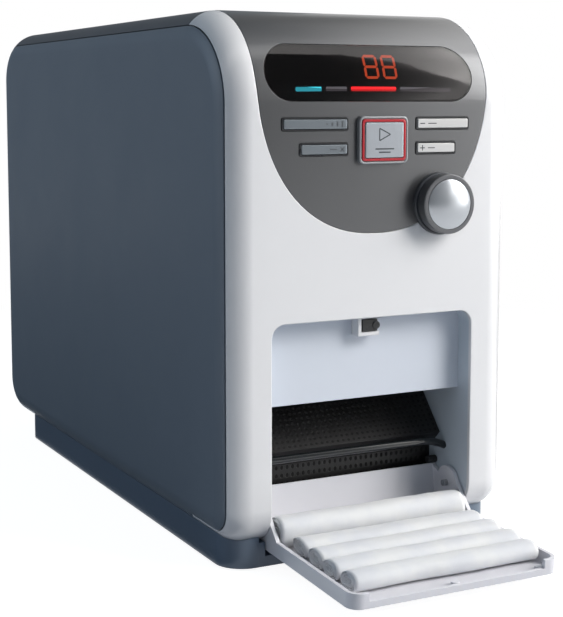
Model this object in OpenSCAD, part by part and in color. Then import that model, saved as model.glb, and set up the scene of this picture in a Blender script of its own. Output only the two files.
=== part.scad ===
// Wet towel dispenser: winds, wets and drops rolled towels into a flip-down tray.
// Sizes are in millimetres, +Z is up, the front faces -Y, and the ground is z = 0.

/* [Casing] */
// Width over the two side panels
case_w = 200; // [196:1:212]
// Depth from the front face to the rear face
case_d = 447; // [444:1:465]
// Height of the casing above the plinth
case_h = 320; // [316:1:336]
// Radius of the rolled edge along both sides
edge_r = 18; // [16:0.5:20]
// Corner radius at the top of the front
front_top_r = 60; // [54:1:64]
// Corner radius at the top of the back
back_top_r = 40; // [34:1:46]
// Corner radius at the bottom of the back
back_low_r = 30; // [26:1:34]
// Corner radius at the bottom of the front
front_low_r = 22; // [21:0.5:24]
// Wall of the moulded shells
wall = 2.5; // [2:0.1:3]
// Thickness of the side panels
panel_t = 3; // [2.6:0.1:3.4]
// Open seam between neighbouring shells
seam = 0.4; // [0.3:0.05:0.6]
// Depth at which the front cover ends and the lid begins
front_depth = 57; // [52:1:60]
// Height of the lid's lower edge at the back, below the top
lid_drop = 46.5; // [44:0.5:50]

/* [Plinth] */
// Height of the plinth below the casing
plinth_h = 15; // [14:0.5:18]
// Inset of the plinth from the casing's sides
plinth_inset = 5.4; // [5:0.2:7]
// Distance of the plinth's front behind the front face
plinth_front = 9.5; // [9:0.5:12]
// Length of the plinth
plinth_l = 391.5; // [375:0.5:396]
// Corner radius of the plinth, seen from above
plinth_r = 18; // [14:1:20]
// Wall of the plinth
plinth_wall = 3; // [2.5:0.1:3.5]
// Diameter of a rubber foot
foot_d = 16; // [12:0.5:17]
// Height by which a foot stands out of the plinth
foot_proud = 1.5; // [1.2:0.1:2.5]

/* [Dispensing bay] */
// Width of the bay's mouth
bay_w = 140; // [136:1:144]
// Height of the bay's mouth above the casing's bottom
bay_h = 132; // [130:0.5:136]
// Corner radius at the top of the mouth
bay_r = 8.5; // [7:0.5:10]
// Depth of the mouth's frame
bay_depth = 14; // [13.5:0.5:16]
// Wall of the bay's side plates
bay_wall = 2.5; // [2:0.1:3]
// Height of the pale plate at the top of the bay
plate_h = 51.7; // [46:0.1:54]
// Thickness of the pale plate
plate_t = 2.5; // [2:0.1:3]
// Diameter of the guide bar
bar_d = 5; // [4:0.1:6]
// Diameter of the chute's drain holes
drain_d = 2.6; // [2:0.1:3]

/* [Tray] */
// Reach of the tray from its hinge
tray_reach = 115; // [113:0.5:115.4]
// Depth of the tray's hinge axis behind the front face
tray_hinge_y = 21; // [20.5:0.1:21.5]
// Height of the tray's hinge axis above the casing's bottom
tray_hinge_h = 16.5; // [16:0.1:17]
// Side wall height of the tray
tray_wall_h = 9; // [8:0.5:10]
// Front lip height between the tray's corners
tray_lip_h = 4; // [3:0.2:4.4]
// Floor thickness of the tray
tray_floor = 2; // [1.6:0.1:2.4]
// Wall thickness of the tray
tray_wall = 2.5; // [2:0.1:3]
// Downward slope of the open tray, in degrees
tray_tilt = 2.4; // [1:0.1:3]
// Diameter of a hinge pin
pin_d = 4; // [3.5:0.1:4.5]

/* [Rolled towels] */
// Clearance of the fresh roll to the tray's side walls
towel_gap = 2; // [1.6:0.1:5]
// Clearance of a flattened roll to the tray's side walls
flat_gap = 6; // [5.5:0.1:9]
// Width of a flattened roll
towel_w = 18; // [16:0.5:18.4]
// Height of a flattened roll
towel_h = 10.8; // [9:0.1:11]
// Diameter of the fresh roll nearest the bay
fresh_d = 17; // [15:0.5:18]

/* [Control panel] */
// Half width of the grey shield
shield_half_w = 79.5; // [78:0.5:81]
// Drop of the shield's widest line below the casing's top
shield_mid_drop = 36.5; // [32:0.5:40]
// Height of the shield's curved lower part
shield_drop = 100; // [96:0.5:102]
// Half width of the display window
window_half_w = 71.5; // [68:0.5:73]
// Height of the display window
window_h = 34; // [30:0.5:35]
// Drop of the window's middle below the shield's widest line
window_mid_drop = 4.7; // [3.5:0.1:6]
// Height of a seven-segment digit
digit_h = 14.2; // [13:0.1:15]
// Width of the start button's frame
start_w = 34; // [30:0.5:35]
// Height of the start button's frame
start_h = 28.5; // [27:0.5:29.5]
// Height of a small button's frame
button_h = 8; // [7:0.2:10]
// Travel of every button
button_travel = 0.8; // [0.5:0.1:1]
// Diameter of the knob
knob_d = 36.5; // [34:0.5:37]
// Projection of the knob's ring from the panel
knob_proud = 11; // [10:0.5:14]
// Diameter of the knob's silver cap
knob_cap_d = 30.3; // [28:0.1:31]

/* [Towel feed] */
// Outer diameter of the full supply roll
roll_d = 150; // [120:1:154]
// Width of the supply roll
roll_w = 130; // [120:1:132]
// Diameter of the roll's spindle
spindle_d = 12; // [10:0.5:13]
// Diameter of the rubber feed roller
feed_d = 24; // [22:0.5:25]
// Diameter of the pinch roller
pinch_d = 18; // [16:0.5:20]
// Gap between the feed roller and the pinch roller
nip = 0.3; // [0.3:0.1:0.6]
// Gear module
gear_m = 1; // [0.9:0.05:1]
// Teeth of the feed gear
feed_teeth = 40; // [40:1:42]
// Teeth of the motor pinion
pinion_teeth = 12; // [12:1:13]
// Diameter of a winding roller
wind_d = 16; // [14:0.5:17]
// Travel of the cutter blade
cut_travel = 10; // [6:0.5:12]
// Thickness of a side frame
frame_t = 2; // [1.5:0.1:2.5]

/* [Water and cooling] */
// Depth of the water tank
tank_d = 52; // [44:1:54]
// Height of the water tank
tank_h = 145; // [120:1:148]
// Wall of the water tank
tank_wall = 2.5; // [2:0.1:3]
// Side of the square fan
fan_w = 70; // [66:1:72]
// Thickness of the fan
fan_t = 20; // [18:0.5:22]
// Width of the mains inlet's flange
inlet_w = 58; // [56:0.5:60]

/* [Hidden] */

$fn = 48;
shell_fn = 32;
eps = 0.01;
fit = 0.3;
run = 0.08;
touch = 0.1;

// Main planes of the casing
case_z = foot_proud + plinth_h;
case_top = case_z + case_h;
deck_z = case_z + wall;
panel_x = case_w / 2 - panel_t;
band_x = panel_x - seam;
rear_in = case_d - wall;
lid_edge_z = case_top - lid_drop;
base_rear = case_d - 67;
corners = [[front_top_r, case_top - front_top_r, front_top_r],
    [case_d - back_top_r, case_top - back_top_r, back_top_r],
    [case_d - back_low_r, case_z + back_low_r, back_low_r],
    [front_low_r, case_z + front_low_r, front_low_r]];

// Rear lid hinge
barrel_d = 6.4;
lid_hinge_y = case_d + barrel_d / 2 + touch;
knuckle_l = 12;
knuckle_x = 50;

// Tray, in its own frame: the hinge axis is the origin and the tray reaches along -Y
tray_hinge_z = case_z + tray_hinge_h;
tray_drop = tray_hinge_y;
tray_half_w = bay_w / 2 - 0.5;
tray_top = tray_wall_h - tray_drop;
tray_heel = 14;
heel_r = 6;
ear_r = 11;
tray_corner_r = 8;
tray_front = tray_hinge_y - tray_reach * cos(tray_tilt) - tray_top * sin(tray_tilt);
back_rise = 8;
back_end = 18;
back_wall = [[tray_heel - heel_r - 3, -tray_drop + tray_floor / 2], [tray_heel - 5, -tray_drop + tray_floor / 2],
    [tray_heel - 0.8, -tray_drop + 4.5], [back_end, back_rise]];

// The origin is the middle of the whole object's box, at ground level
front_y = -(tray_front + lid_hinge_y + barrel_d / 2) / 2;

// Bay
bay_top = case_z + bay_h;
plate_low = bay_top - plate_h;
liner_rear = 80;
liner_top = 118;
bar_y = 28.5;
bar_z = 60;
chute = [[80, 116], [34.5, 63.5], [46.5, 52], [46.5, deck_z + fit]];
chute_t = 1.5;
drain_rows = 3;
drain_count = 16;
stop_y = 38.3;
stop_d = 5;
stop_z = tray_hinge_z + back_rise + back_end * sin(tray_tilt) + stop_d / 2 + fit;

// Latch
latch_x = -0.5;
latch_z = bay_top - 5.5;
latch_travel = 3;

// Towel places: distance in front of the tray hinge, and sideways shift
towel_l = 2 * (tray_half_w - tray_wall - towel_gap);
flat_l = 2 * (tray_half_w - tray_wall - flat_gap);
fresh_u = 15.5;
flat_u = [[34.6, 2.5], [54, 3], [73.4, 1.5], [93, 0.5]];

// Control panel
shield_z = case_top - shield_mid_drop;
shield_power = 2 / 2.25;
window_z = shield_z - window_mid_drop;
window_x = -2;
window_t = 2;
led_t = 0.3;
carrier_t = 4;
digit_z = window_z + 3.4;
digit_w = 9.8;
digit_pitch = 12.6;
digit_x = 5.3;
segment = 1.5;
lamp_z = window_z - 9.6;
lamps = [[-45, 17], [-26.5, 14], [-1, 31], [35.5, 36]];
lamp_h = 2.6;
start_x = 3.4;
start_z = window_z - 39.8;
start_proud = 3;
ring_edge = 1.75;
row_top_z = window_z - 30.1;
row_low_z = window_z - 44.9;
left_edge_x = -19.5;
right_edge_x = 27.2;
small_buttons = [
    ["mode", left_edge_x - 22.3, row_top_z, 44.6],
    ["cancel", left_edge_x - 16.5, row_low_z, 33],
    ["minus", right_edge_x + 19.4, row_top_z, 38.8],
    ["plus", right_edge_x + 14.6, row_low_z, 29.2]];
bezel_wall = 1;
button_proud = 1;
board_y = 12;
board_t = 1.6;
board_low = window_z - 89.8;
board_high = window_z - 18.3;
switch_h = 4;
stem_end = board_y - switch_h - button_travel - touch;
post_places = [[-57, window_z - 59.3], [-69, window_z - 21.3], [69, window_z - 21.3]];
knob_x = 45.4;
knob_z = window_z - 79;
knob_shaft_d = 6;
knob_base_h = 2.5;
encoder_w = 12;
cap_dome = 2.8;

// Side frames and what they carry
frame_x = bay_w / 2 + 6;
tank_y = case_d - 15 - tank_d;
tank_z = case_z + 123.5;
roll_y = tank_y - 90;
roll_z = case_top - 100.5;
roll_core_d = 38;
feed_y = roll_y - 108;
feed_z = case_z + 173.5;
pinch_z = feed_z + feed_d / 2 + pinch_d / 2 + nip;
shaft_d = 8;
gear_x = frame_x + frame_t + 1;
gear_w = 6;
mesh_gap = 0.3;
pinion_reach = (feed_teeth + pinion_teeth) * gear_m / 2 + mesh_gap;
pinion_angle = -60;
pinion_y = feed_y + pinion_reach * cos(pinion_angle);
pinion_z = feed_z + pinion_reach * sin(pinion_angle);
motor_d = 25;
motor_l = 52;
cut_y = feed_y - 25.7;
cut_z = case_z + 181.5;
blade_t = 2;
blade_lap = 2;
blade_top = cut_z + 31;
solenoid_h = 13;
bed_l = 10;
wind_y = 84;
wind_z = case_z + 133.5;
wind_reach = 17.5;
wind_rear = [wind_y + wind_reach * cos(-50), wind_z + wind_reach * sin(-50)];
wind_top = [wind_y + wind_reach * cos(60), wind_z + wind_reach * sin(60)];
wind_front = [wind_y - wind_reach, wind_z + 1.5];
arm_pivot = [wind_y - wind_reach, wind_z + 40];
arm_t = 2;
arm_x = frame_x - arm_t - fit;
spray_y = feed_y - 54;
spray_z = case_z + 205.5;
spray_d = 8;
frame_outline = [[24, deck_z], [24, 120], [52, spray_z - 10], [100, spray_z + 13], [130, spray_z + 28],
    [roll_y - 28, roll_z + 20], [roll_y + 28, roll_z + 20], [case_d - 82, tank_z], [case_d - 17, tank_z],
    [case_d - 17, 60], [case_d - 33, deck_z]];
panel_bosses = [[44, 50], [100, 190], [case_d - 147, 50], [case_d - 47, 110]];

// Water, cooling and mains
tank_half_w = frame_x - fit;
neck_d = 30;
neck_h = 10;
cap_d = 38;
fan_x = -38;
fan_z = case_z + 67.5;
fan_rear = rear_in;
sink_gap = 0.3;
sink_l = 26;
psu = [[frame_x - 68, case_d - 147, deck_z], [frame_x - 4, case_d - 67, deck_z + 46]];
inlet_x = 42;
inlet_z = case_z + 57;
inlet_h = 28;
rocker_x = 42;
rocker_z = inlet_z + 34;
rocker_pin_d = 2;
pump_x = -40;
pump_y = tank_y - 50;
pump_z = deck_z + 16;
tank_outlet_x = 10;
tank_outlet_y = tank_y + 14;

// Colours
white = "#dcdde1";
slate = "#5a6572";
gunmetal = "#5c5e60";
pale = "#c6cbd6";
dark = "#1c1f21";
steel = "#b4b8bc";
silver = "#c9cdd2";
rubber = "#2a2b2d";
cloth = "#f2f2f0";
green = "#2f6b4a";
red = "#c22b33";

// Helpers
module place() translate([0, front_y, 0]) children();

module block(from, to) translate(from) cube(to - from);

module rod_x(d, x0, x1, y, z) translate([x0, y, z]) rotate([0, 90, 0]) cylinder(d = d, h = x1 - x0);

module rod_y(d, x, z, y0, y1) translate([x, y0, z]) rotate([-90, 0, 0]) cylinder(d = d, h = y1 - y0);

module on_front(y0, y1) translate([0, y1, 0]) rotate([90, 0, 0]) linear_extrude(y1 - y0) children();

module along_x(x0, x1) translate([x0, 0, 0]) rotate([90, 0, 90]) linear_extrude(x1 - x0) children();

module rounded(w, h, r) {
    square([w, h - 2 * r], center = true);
    square([w - 2 * r, h], center = true);
    for (sx = [-1, 1], sy = [-1, 1])
        translate([sx * (w / 2 - r), sy * (h / 2 - r)]) circle(r = r);
}

// A sheet seen edge-on, mitred at its bends
function side_dir(a, b) = [a[1] - b[1], b[0] - a[0]] / norm(b - a);
function mitre(path, i) = let (
    m = side_dir(path[max(i - 1, 0)], path[max(i, 1)]),
    n = side_dir(path[min(i, len(path) - 2)], path[min(i + 1, len(path) - 1)]))
    (m + n) / (1 + m * n);

module ribbon(path, t) polygon(concat(
    [for (i = [0:len(path) - 1]) path[i] + mitre(path, i) * t / 2],
    [for (i = [len(path) - 1:-1:0]) path[i] - mitre(path, i) * t / 2]));

// One profile corner of the casing, swept as a ring round its centre
module corner_ring(r, inset) rotate([0, 90, 0]) rotate_extrude($fn = shell_fn) intersection() {
    translate([r - edge_r, 0]) circle(r = edge_r - inset, $fn = shell_fn);
    translate([0, -edge_r]) square([2 * r, 2 * edge_r]);
}

// The casing's outer form, drawn in by an inset
module pillow(inset = 0) hull() for (s = [-1, 1], c = corners)
    translate([s * (case_w / 2 - edge_r), c[0], c[1]]) corner_ring(c[2], inset);

module shell(outer, inner) difference() {
    pillow(outer);
    pillow(inner);
}

module band(y0, y1, z0, z1, outer = 0, inner = wall) intersection() {
    shell(outer, inner);
    block([-band_x, y0, z0], [band_x, y1, z1]);
}

// Outline of the grey shield: a lower half superellipse under a straight part
function shield_point(a, g) = [
    (shield_half_w + g) * (cos(a) < 0 ? -1 : 1) * pow(abs(cos(a)), shield_power),
    shield_z - (shield_drop + g) * pow(sin(a), shield_power)];

module shield_outline(g = 0) polygon(concat(
    [[-shield_half_w - g, case_top + 1]],
    [for (a = [180:-6:0]) shield_point(a, g)],
    [[shield_half_w + g, case_top + 1]]));

module shield_zone(g = 0, y0 = -1) on_front(y0, front_depth) shield_outline(g);

module window_outline(grow = 0) {
    half = window_half_w - window_h / 2;
    translate([window_x, window_z]) {
        square([2 * half, window_h + 2 * grow], center = true);
        for (s = [-1, 1]) translate([s * half, 0]) circle(d = window_h + 2 * grow);
    }
}

module button_outline(b, grow) translate([b[1], b[2]]) rounded(b[3] + 2 * grow, button_h + 2 * grow, 1.4);

module start_outline(w, h, r) translate([start_x, start_z]) rounded(w, h, r);

// Casing
module base_plinth() color("#8d9299") place() {
    difference() {
        union() {
            difference() {
                union() {
                    plinth_block(0, foot_proud, case_z);
                    intersection() {
                        shell(0, wall);
                        block([-band_x, front_depth + seam, 0], [band_x, base_rear, case_z + front_low_r]);
                    }
                }
                plinth_block(plinth_wall, foot_proud - 1, case_z);
            }
            for (p = foot_places) translate([p[0], p[1], foot_proud])
                cylinder(r = plinth_boss_r, h = plinth_h);
            block([-pocket_x, plinth_front, pocket_z - 2.5], [pocket_x, pocket_rear + 2.5, case_z]);
            block([-mouth_x, pocket_rear, case_z - eps], [mouth_x, front_depth + 5, deck_z]);
            block([-plinth_rib_x, foot_places[0][1] - 2, pocket_z - 2.5], [plinth_rib_x, foot_places[0][1] + 2, case_z]);
        }
        block([-bay_w / 2, -1, pocket_z], [bay_w / 2, pocket_rear, case_top]);
        for (p = foot_places) translate([p[0], p[1], foot_proud - 1])
            cylinder(d = foot_d + 2 * touch, h = 2);
    }
}

pocket_x = bay_w / 2 + bay_wall;
mouth_x = bay_w / 2 - touch;
pocket_z = 8;
pocket_rear = 48.5;
plinth_boss_r = 11;
plinth_rib_x = case_w / 2 - plinth_inset - plinth_wall / 2;
foot_x = pocket_x + plinth_boss_r - 1;
foot_places = [for (s = [-1, 1], y = [plinth_front + 18, plinth_front + plinth_l - 20]) [s * foot_x, y]];

module plinth_block(inset, z0, z1) translate([0, plinth_front + plinth_l / 2, z0])
    linear_extrude(z1 - z0) rounded(case_w - 2 * plinth_inset - 2 * inset, plinth_l - 2 * inset, plinth_r - inset);

module rubber_feet() color(rubber) place() for (p = foot_places)
    translate([p[0], p[1], 0]) cylinder(d = foot_d, h = foot_proud + 1);

module side_panel(s) {
    intersection() {
        pillow();
        block([s > 0 ? panel_x : -case_w, -1, 0], [s > 0 ? case_w : -panel_x, case_d + 1, case_top + 1]);
    }
    for (b = panel_bosses) {
        x0 = frame_x + frame_t + fit;
        rod_x(8, s > 0 ? x0 : -panel_x - eps, s > 0 ? panel_x + eps : -x0, b[0], b[1]);
    }
}

module left_side_panel() color(slate) place() side_panel(-1);

module right_side_panel() color(slate) place() side_panel(1);

module front_cover() color(white) place() difference() {
    band(-1, front_depth, 0, case_top + 1);
    shield_zone(seam / 2);
    block([-bay_w / 2, -1, 0], [bay_w / 2, front_depth + 1, bay_top - bay_r]);
    on_front(-1, wall + 1) translate([0, bay_top - 25]) rounded(bay_w, 50, bay_r);
    rod_y(knob_shaft_d + 1, knob_x, knob_z, -1, wall + 1);
}

module control_panel() color(gunmetal) place() {
    difference() {
        intersection() {
            band(-1, front_depth, shield_z - shield_drop - 1, case_top + 1);
            shield_zone();
        }
        on_front(-1, front_depth) window_outline(0);
        for (b = small_buttons) on_front(-1, wall + 1) button_outline(b, touch);
        on_front(-1, wall + 1) start_outline(start_w - 1.5, start_h - 1.5, 2);
        rod_y(knob_shaft_d + 1, knob_x, knob_z, -1, wall + 1);
    }
    for (p = post_places) rod_y(5, p[0], p[1], wall - eps, board_y);
}

module top_lid() color(gunmetal) place() difference() {
    union() {
        band(front_depth + seam, case_d + 1, lid_edge_z, case_top + 1);
        for (s = [-1, 1]) {
            x0 = s > 0 ? knuckle_x : -knuckle_x - knuckle_l;
            rod_x(barrel_d, x0, x0 + knuckle_l, lid_hinge_y, lid_edge_z);
            block([x0, case_d - wall, lid_edge_z], [x0 + knuckle_l, lid_hinge_y, lid_edge_z + 3]);
        }
    }
    for (s = [-1, 1]) rod_x(3 + 2 * run, s * knuckle_x - 14, s * knuckle_x + 14, lid_hinge_y, lid_edge_z);
}

module back_cover() color(white) place() difference() {
    union() {
        band(base_rear + seam, case_d + 1, 0, lid_edge_z - seam);
        for (s = [-1, 1]) {
            x0 = s > 0 ? knuckle_x - knuckle_l - fit : -knuckle_x + fit;
            rod_x(barrel_d, x0, x0 + knuckle_l, lid_hinge_y, lid_edge_z);
            block([x0, case_d - wall, lid_edge_z - 5], [x0 + knuckle_l, lid_hinge_y, lid_edge_z - seam]);
        }
    }
    for (s = [-1, 1]) rod_x(3, s * knuckle_x - 14, s * knuckle_x + 14, lid_hinge_y, lid_edge_z);
    for (i = [0:8]) block([fan_x - 26, rear_in - 1, fan_z - 25.5 + 6 * i], [fan_x + 26, case_d + 1, fan_z - 22.5 + 6 * i]);
    block([inlet_x - 14, rear_in - 1, inlet_z - 10.5], [inlet_x + 14, case_d + 1, inlet_z + 10.5]);
    block([rocker_x - 7, rear_in - 1, rocker_z - 10], [rocker_x + 7, case_d + 1, rocker_z + 10]);
    for (p = screw_places) rod_y(3.4, p[0], p[1], rear_in - 1, case_d + 1);
}

screw_places = [for (s = [-1, 1], z = [case_z + 40, lid_edge_z - 18]) [s * 78, z]];

module cover_screws() color(steel) place() for (p = screw_places) {
    rod_y(3, p[0], p[1], rear_in - 9, case_d);
    difference() {
        rod_y(6, p[0], p[1], case_d, case_d + 1.8);
        for (a = [0, 90]) translate([p[0], case_d + 1.4, p[1]]) rotate([0, a, 0]) cube([3.6, 1.2, 0.8], center = true);
    }
}

module hinge_pins() color(steel) place() {
    for (s = [-1, 1]) {
        rod_x(3, s * knuckle_x - knuckle_l - fit, s * knuckle_x + knuckle_l, lid_hinge_y, lid_edge_z);
        x0 = bay_w / 2 - 6;
        x1 = bay_w / 2 + bay_wall;
        rod_x(pin_d, s > 0 ? x0 : -x1, s > 0 ? x1 : -x0, tray_hinge_y, tray_hinge_z);
    }
}

// Display
module display_window() color("#201c1f") place() intersection() {
    shell(0, window_t);
    on_front(-1, front_depth) window_outline(-touch);
}

module digit_segments() {
    w = digit_w - segment;
    h = (digit_h - segment) / 2;
    for (k = [-1, 0, 1]) translate([0, k * h]) square([w - segment - 0.6, segment], center = true);
    for (sx = [-1, 1], k = [-1, 1]) translate([sx * w / 2, k * h / 2])
        square([segment, h - segment - 0.6], center = true);
}

module display_leds() color("#ff7a3a") place() intersection() {
    shell(window_t + touch, window_t + touch + led_t);
    on_front(-1, front_depth) {
        for (s = [-1, 1]) translate([digit_x + s * digit_pitch / 2, digit_z]) digit_segments();
        for (l = lamps) translate([l[0], lamp_z]) square([l[1], lamp_h], center = true);
    }
}

module display_carrier() color(dark) place() intersection() {
    shell(wall + touch, wall + touch + carrier_t);
    on_front(-1, front_depth) window_outline(2);
}

module control_board() color(green) place() {
    difference() {
        union() {
            block([-73, board_y, board_low], [73, board_y + board_t, board_high]);
            for (b = small_buttons) block([b[1] - 3, board_y - switch_h, b[2] - 3], [b[1] + 3, board_y, b[2] + 3]);
            block([start_x - 3, board_y - switch_h, start_z - 3], [start_x + 3, board_y, start_z + 3]);
            block([knob_x - encoder_w / 2, board_y - 7, knob_z - encoder_w / 2],
                [knob_x + encoder_w / 2, board_y, knob_z + encoder_w / 2]);
            block([-40, board_y + board_t, board_low + 8], [-20, board_y + board_t + 2, board_low + 28]);
            block([-12, board_y + board_t, board_low + 6], [8, board_y + board_t + 7, board_low + 13]);
        }
        rod_y(knob_shaft_d + 2 * run, knob_x, knob_z, board_y - 8, board_y - 2);
    }
}

// Buttons
module start_bezel() color(gunmetal) place() difference() {
    union() {
        on_front(-start_proud, 0) start_outline(start_w, start_h, 3.4);
        on_front(-touch, wall + 1.5) start_outline(start_w - 2, start_h - 2, 2.2);
    }
    on_front(-start_proud - 1, wall + 2) start_outline(start_w - 2 * ring_edge, start_h - 2 * ring_edge, 2);
}

module start_ring() color(red) place() difference() {
    on_front(-start_proud - 0.3, wall) start_outline(start_w - 2 * ring_edge - 2 * touch, start_h - 2 * ring_edge - 2 * touch, 1.9);
    on_front(-start_proud - 1, wall + 1) start_outline(start_w - 4 * ring_edge, start_h - 4 * ring_edge, 1.2);
}

module start_button() color(silver) place() {
    on_front(-start_proud - 0.8, wall + 2.5)
        start_outline(start_w - 4 * ring_edge - 2 * fit, start_h - 4 * ring_edge - 2 * fit, 1);
    on_front(wall + 1.9, wall + 2.5) start_outline(start_w - 2, start_h - 2, 2);
    rod_y(5, start_x, start_z, wall + 2.5 - eps, stem_end);
}

module button_bezels() color(dark) place() for (b = small_buttons) difference() {
    on_front(-0.4, wall) button_outline(b, 0);
    on_front(-1, wall + 1) button_outline(b, -bezel_wall);
}

module small_button(b) {
    on_front(-button_proud, wall + 1.6) button_outline(b, -bezel_wall - 0.25);
    on_front(wall + 0.3, wall + 1.6) button_outline(b, 0);
    rod_y(4, b[1], b[2], wall + 1.6 - eps, stem_end);
}

module mode_button() color(silver) place() small_button(small_buttons[0]);

module cancel_button() color(silver) place() small_button(small_buttons[1]);

module minus_button() color(silver) place() small_button(small_buttons[2]);

module plus_button() color(silver) place() small_button(small_buttons[3]);

// Knob
module knob_base() color("#55585a") place() difference() {
    translate([knob_x, 0, knob_z]) rotate([90, 0, 0]) cylinder(d1 = knob_d + 2, d2 = knob_d + 0.6, h = knob_base_h);
    rod_y(knob_shaft_d + 1, knob_x, knob_z, -knob_base_h - 1, 1);
}

module knob_ring() color("#6b6b68") place() difference() {
    union() {
        rod_y(knob_d, knob_x, knob_z, -knob_proud, -knob_base_h - fit);
        rod_y(knob_shaft_d, knob_x, knob_z, -knob_base_h - 1, board_y - 3);
    }
    rod_y(knob_cap_d + 2 * touch, knob_x, knob_z, -knob_proud - 1, -knob_proud + 4);
}

module knob_cap() color(silver) place() {
    dome_r = (pow(knob_cap_d / 2, 2) + pow(cap_dome, 2)) / (2 * cap_dome);
    intersection() {
        rod_y(knob_cap_d, knob_x, knob_z, -knob_proud - cap_dome - 1, -knob_proud + 4);
        translate([knob_x, dome_r - knob_proud - cap_dome, knob_z]) sphere(r = dome_r, $fn = 96);
    }
}

// Dispensing bay
module bay_outline(grow) translate([0, (bay_top + deck_z) / 2])
    rounded(bay_w + 2 * grow, bay_top - deck_z + 2 * grow, bay_r + grow);

module bay_liner() color("#8e9ba8") place() difference() {
    union() {
        difference() {
            on_front(wall, bay_depth) bay_outline(bay_wall);
            on_front(wall - 1, bay_depth + 1) bay_outline(0);
            block([-bay_w, 0, 0], [bay_w, bay_depth + 1, deck_z + bay_r + bay_wall]);
        }
        for (s = [-1, 1]) {
            x0 = s > 0 ? bay_w / 2 : -bay_w / 2 - bay_wall;
            block([x0, wall, deck_z], [x0 + bay_wall, bay_depth, deck_z + bay_r + bay_wall + 1]);
            block([x0, bay_depth - eps, deck_z], [x0 + bay_wall, bay_depth + plate_t, plate_low - touch]);
            block([x0, bay_depth + plate_t - eps, deck_z], [x0 + bay_wall, liner_rear, plate_low - touch]);
            block([x0, bay_depth + plate_t + touch, plate_low - 1], [x0 + bay_wall, liner_rear, liner_top]);
        }
    }
    for (s = [-1, 1]) rod_x(pin_d, s * bay_w / 2 - 8, s * bay_w / 2 + 8, tray_hinge_y, tray_hinge_z);
    difference() {
        block([-bay_w, 0, 0], [bay_w, front_low_r, case_z + front_low_r]);
        rod_x(2 * (front_low_r - wall - touch), -bay_w - 1, bay_w + 1, front_low_r, case_z + front_low_r);
    }
}

module inner_plate() color(pale) place() difference() {
    intersection() {
        on_front(bay_depth, bay_depth + plate_t) bay_outline(bay_wall);
        block([-bay_w, 0, plate_low], [bay_w, bay_depth + plate_t + 1, bay_top + bay_wall]);
    }
    block([latch_x - 5.5, bay_depth - 1, latch_z - 4], [latch_x + 5.5, bay_depth + plate_t + 1, latch_z + 4]);
}

module latch_bracket() color(white) place() difference() {
    block([latch_x - 8, 6, latch_z - 6.5], [latch_x + 7, bay_depth, bay_top - touch]);
    block([latch_x - 5.5, 5, latch_z - 4], [latch_x + 10, bay_depth + 1, latch_z + 4]);
}

module latch_plunger() color(dark) place() {
    block([latch_x - 5.2, 5.4, latch_z - 3.7], [latch_x + 5.2, bay_depth + plate_t + 3, latch_z + 3.7]);
    rod_y(5, latch_x + 4.2, latch_z, 4.8, bay_depth - latch_travel - 1);
}

module chute_plate() color(dark) place() difference() {
    along_x(-bay_w / 2 + touch, bay_w / 2 - touch) ribbon(chute, chute_t);
    slope = chute[1] - chute[0];
    for (r = [1:drain_rows], k = [0:drain_count - 1]) {
        p = chute[0] + slope * (0.12 + 0.13 * r);
        x = (k - (drain_count - 1) / 2) * (bay_w - 18) / (drain_count - 1);
        translate([x, p[0], p[1]]) rotate([atan2(slope[1], slope[0]), 0, 0]) cylinder(d = drain_d, h = 6, center = true);
    }
}

module guide_bar() color("#25282a") place()
    rod_x(bar_d, -bay_w / 2, bay_w / 2, bar_y, bar_z);

// Tray, drawn flat in its own frame and then tilted about the hinge
module at_hinge() translate([0, tray_hinge_y, tray_hinge_z]) rotate([tray_tilt, 0, 0]) children();

module tray_plan(inset) {
    w = tray_half_w - inset;
    r = tray_corner_r - inset;
    front = -tray_reach + inset;
    translate([-w, front + r]) square([2 * w, tray_heel + tray_reach - 2 * inset - r - heel_r]);
    translate([-w + r, front]) square([2 * w - 2 * r, r + eps]);
    for (s = [-1, 1]) translate([s * (w - r), front + r]) circle(r = r);
}

module tray() color("#bfc3cb") place() at_hinge() difference() {
    union() {
        difference() {
            translate([0, 0, -tray_drop]) linear_extrude(tray_wall_h) tray_plan(0);
            translate([0, 0, -tray_drop + tray_floor]) linear_extrude(tray_wall_h) tray_plan(tray_wall);
            block([-tray_half_w + tray_wall, 0, -tray_drop + tray_floor],
                [tray_half_w - tray_wall, tray_heel, 0]);
            block([-tray_half_w + 11, -tray_reach - 1, -tray_drop + tray_lip_h],
                [tray_half_w - 11, -tray_reach + tray_wall + 1, 0]);
        }
        for (s = [-1, 1]) {
            x0 = s > 0 ? tray_half_w - tray_wall : -tray_half_w;
            along_x(x0, x0 + tray_wall) {
                circle(r = ear_r);
                polygon([[-26, tray_top], [-8, 6], [0, 0], back_wall[3], back_wall[2], back_wall[1],
                    [tray_heel - heel_r - 1, -tray_drop], [-26, -tray_drop]]);
            }
        }
        along_x(-tray_half_w, tray_half_w) ribbon(back_wall, tray_floor);
        for (x = [latch_x, tray_half_w - 12]) translate([x, -tray_reach + tray_wall + 2, -tray_drop])
            cylinder(d = 5, h = tray_lip_h + 0.5);
    }
    for (s = [-1, 1]) rod_x(pin_d + 2 * run, s * tray_half_w - 4, s * tray_half_w + 4, 0, 0);
}

module tray_bumpers() color(rubber) place() for (s = [-1, 1])
    rod_x(stop_d, s > 0 ? bay_w / 2 - 7 : -bay_w / 2, s > 0 ? bay_w / 2 : -bay_w / 2 + 7, stop_y, stop_z);

module flat_roll(x, u) translate([x - flat_l / 2, -u, -tray_drop + tray_floor + fit + towel_h / 2]) rotate([90, 0, 90])
    linear_extrude(flat_l) {
        square([towel_w - towel_h, towel_h], center = true);
        for (s = [-1, 1]) translate([s * (towel_w - towel_h) / 2, 0]) circle(d = towel_h);
    }

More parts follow.
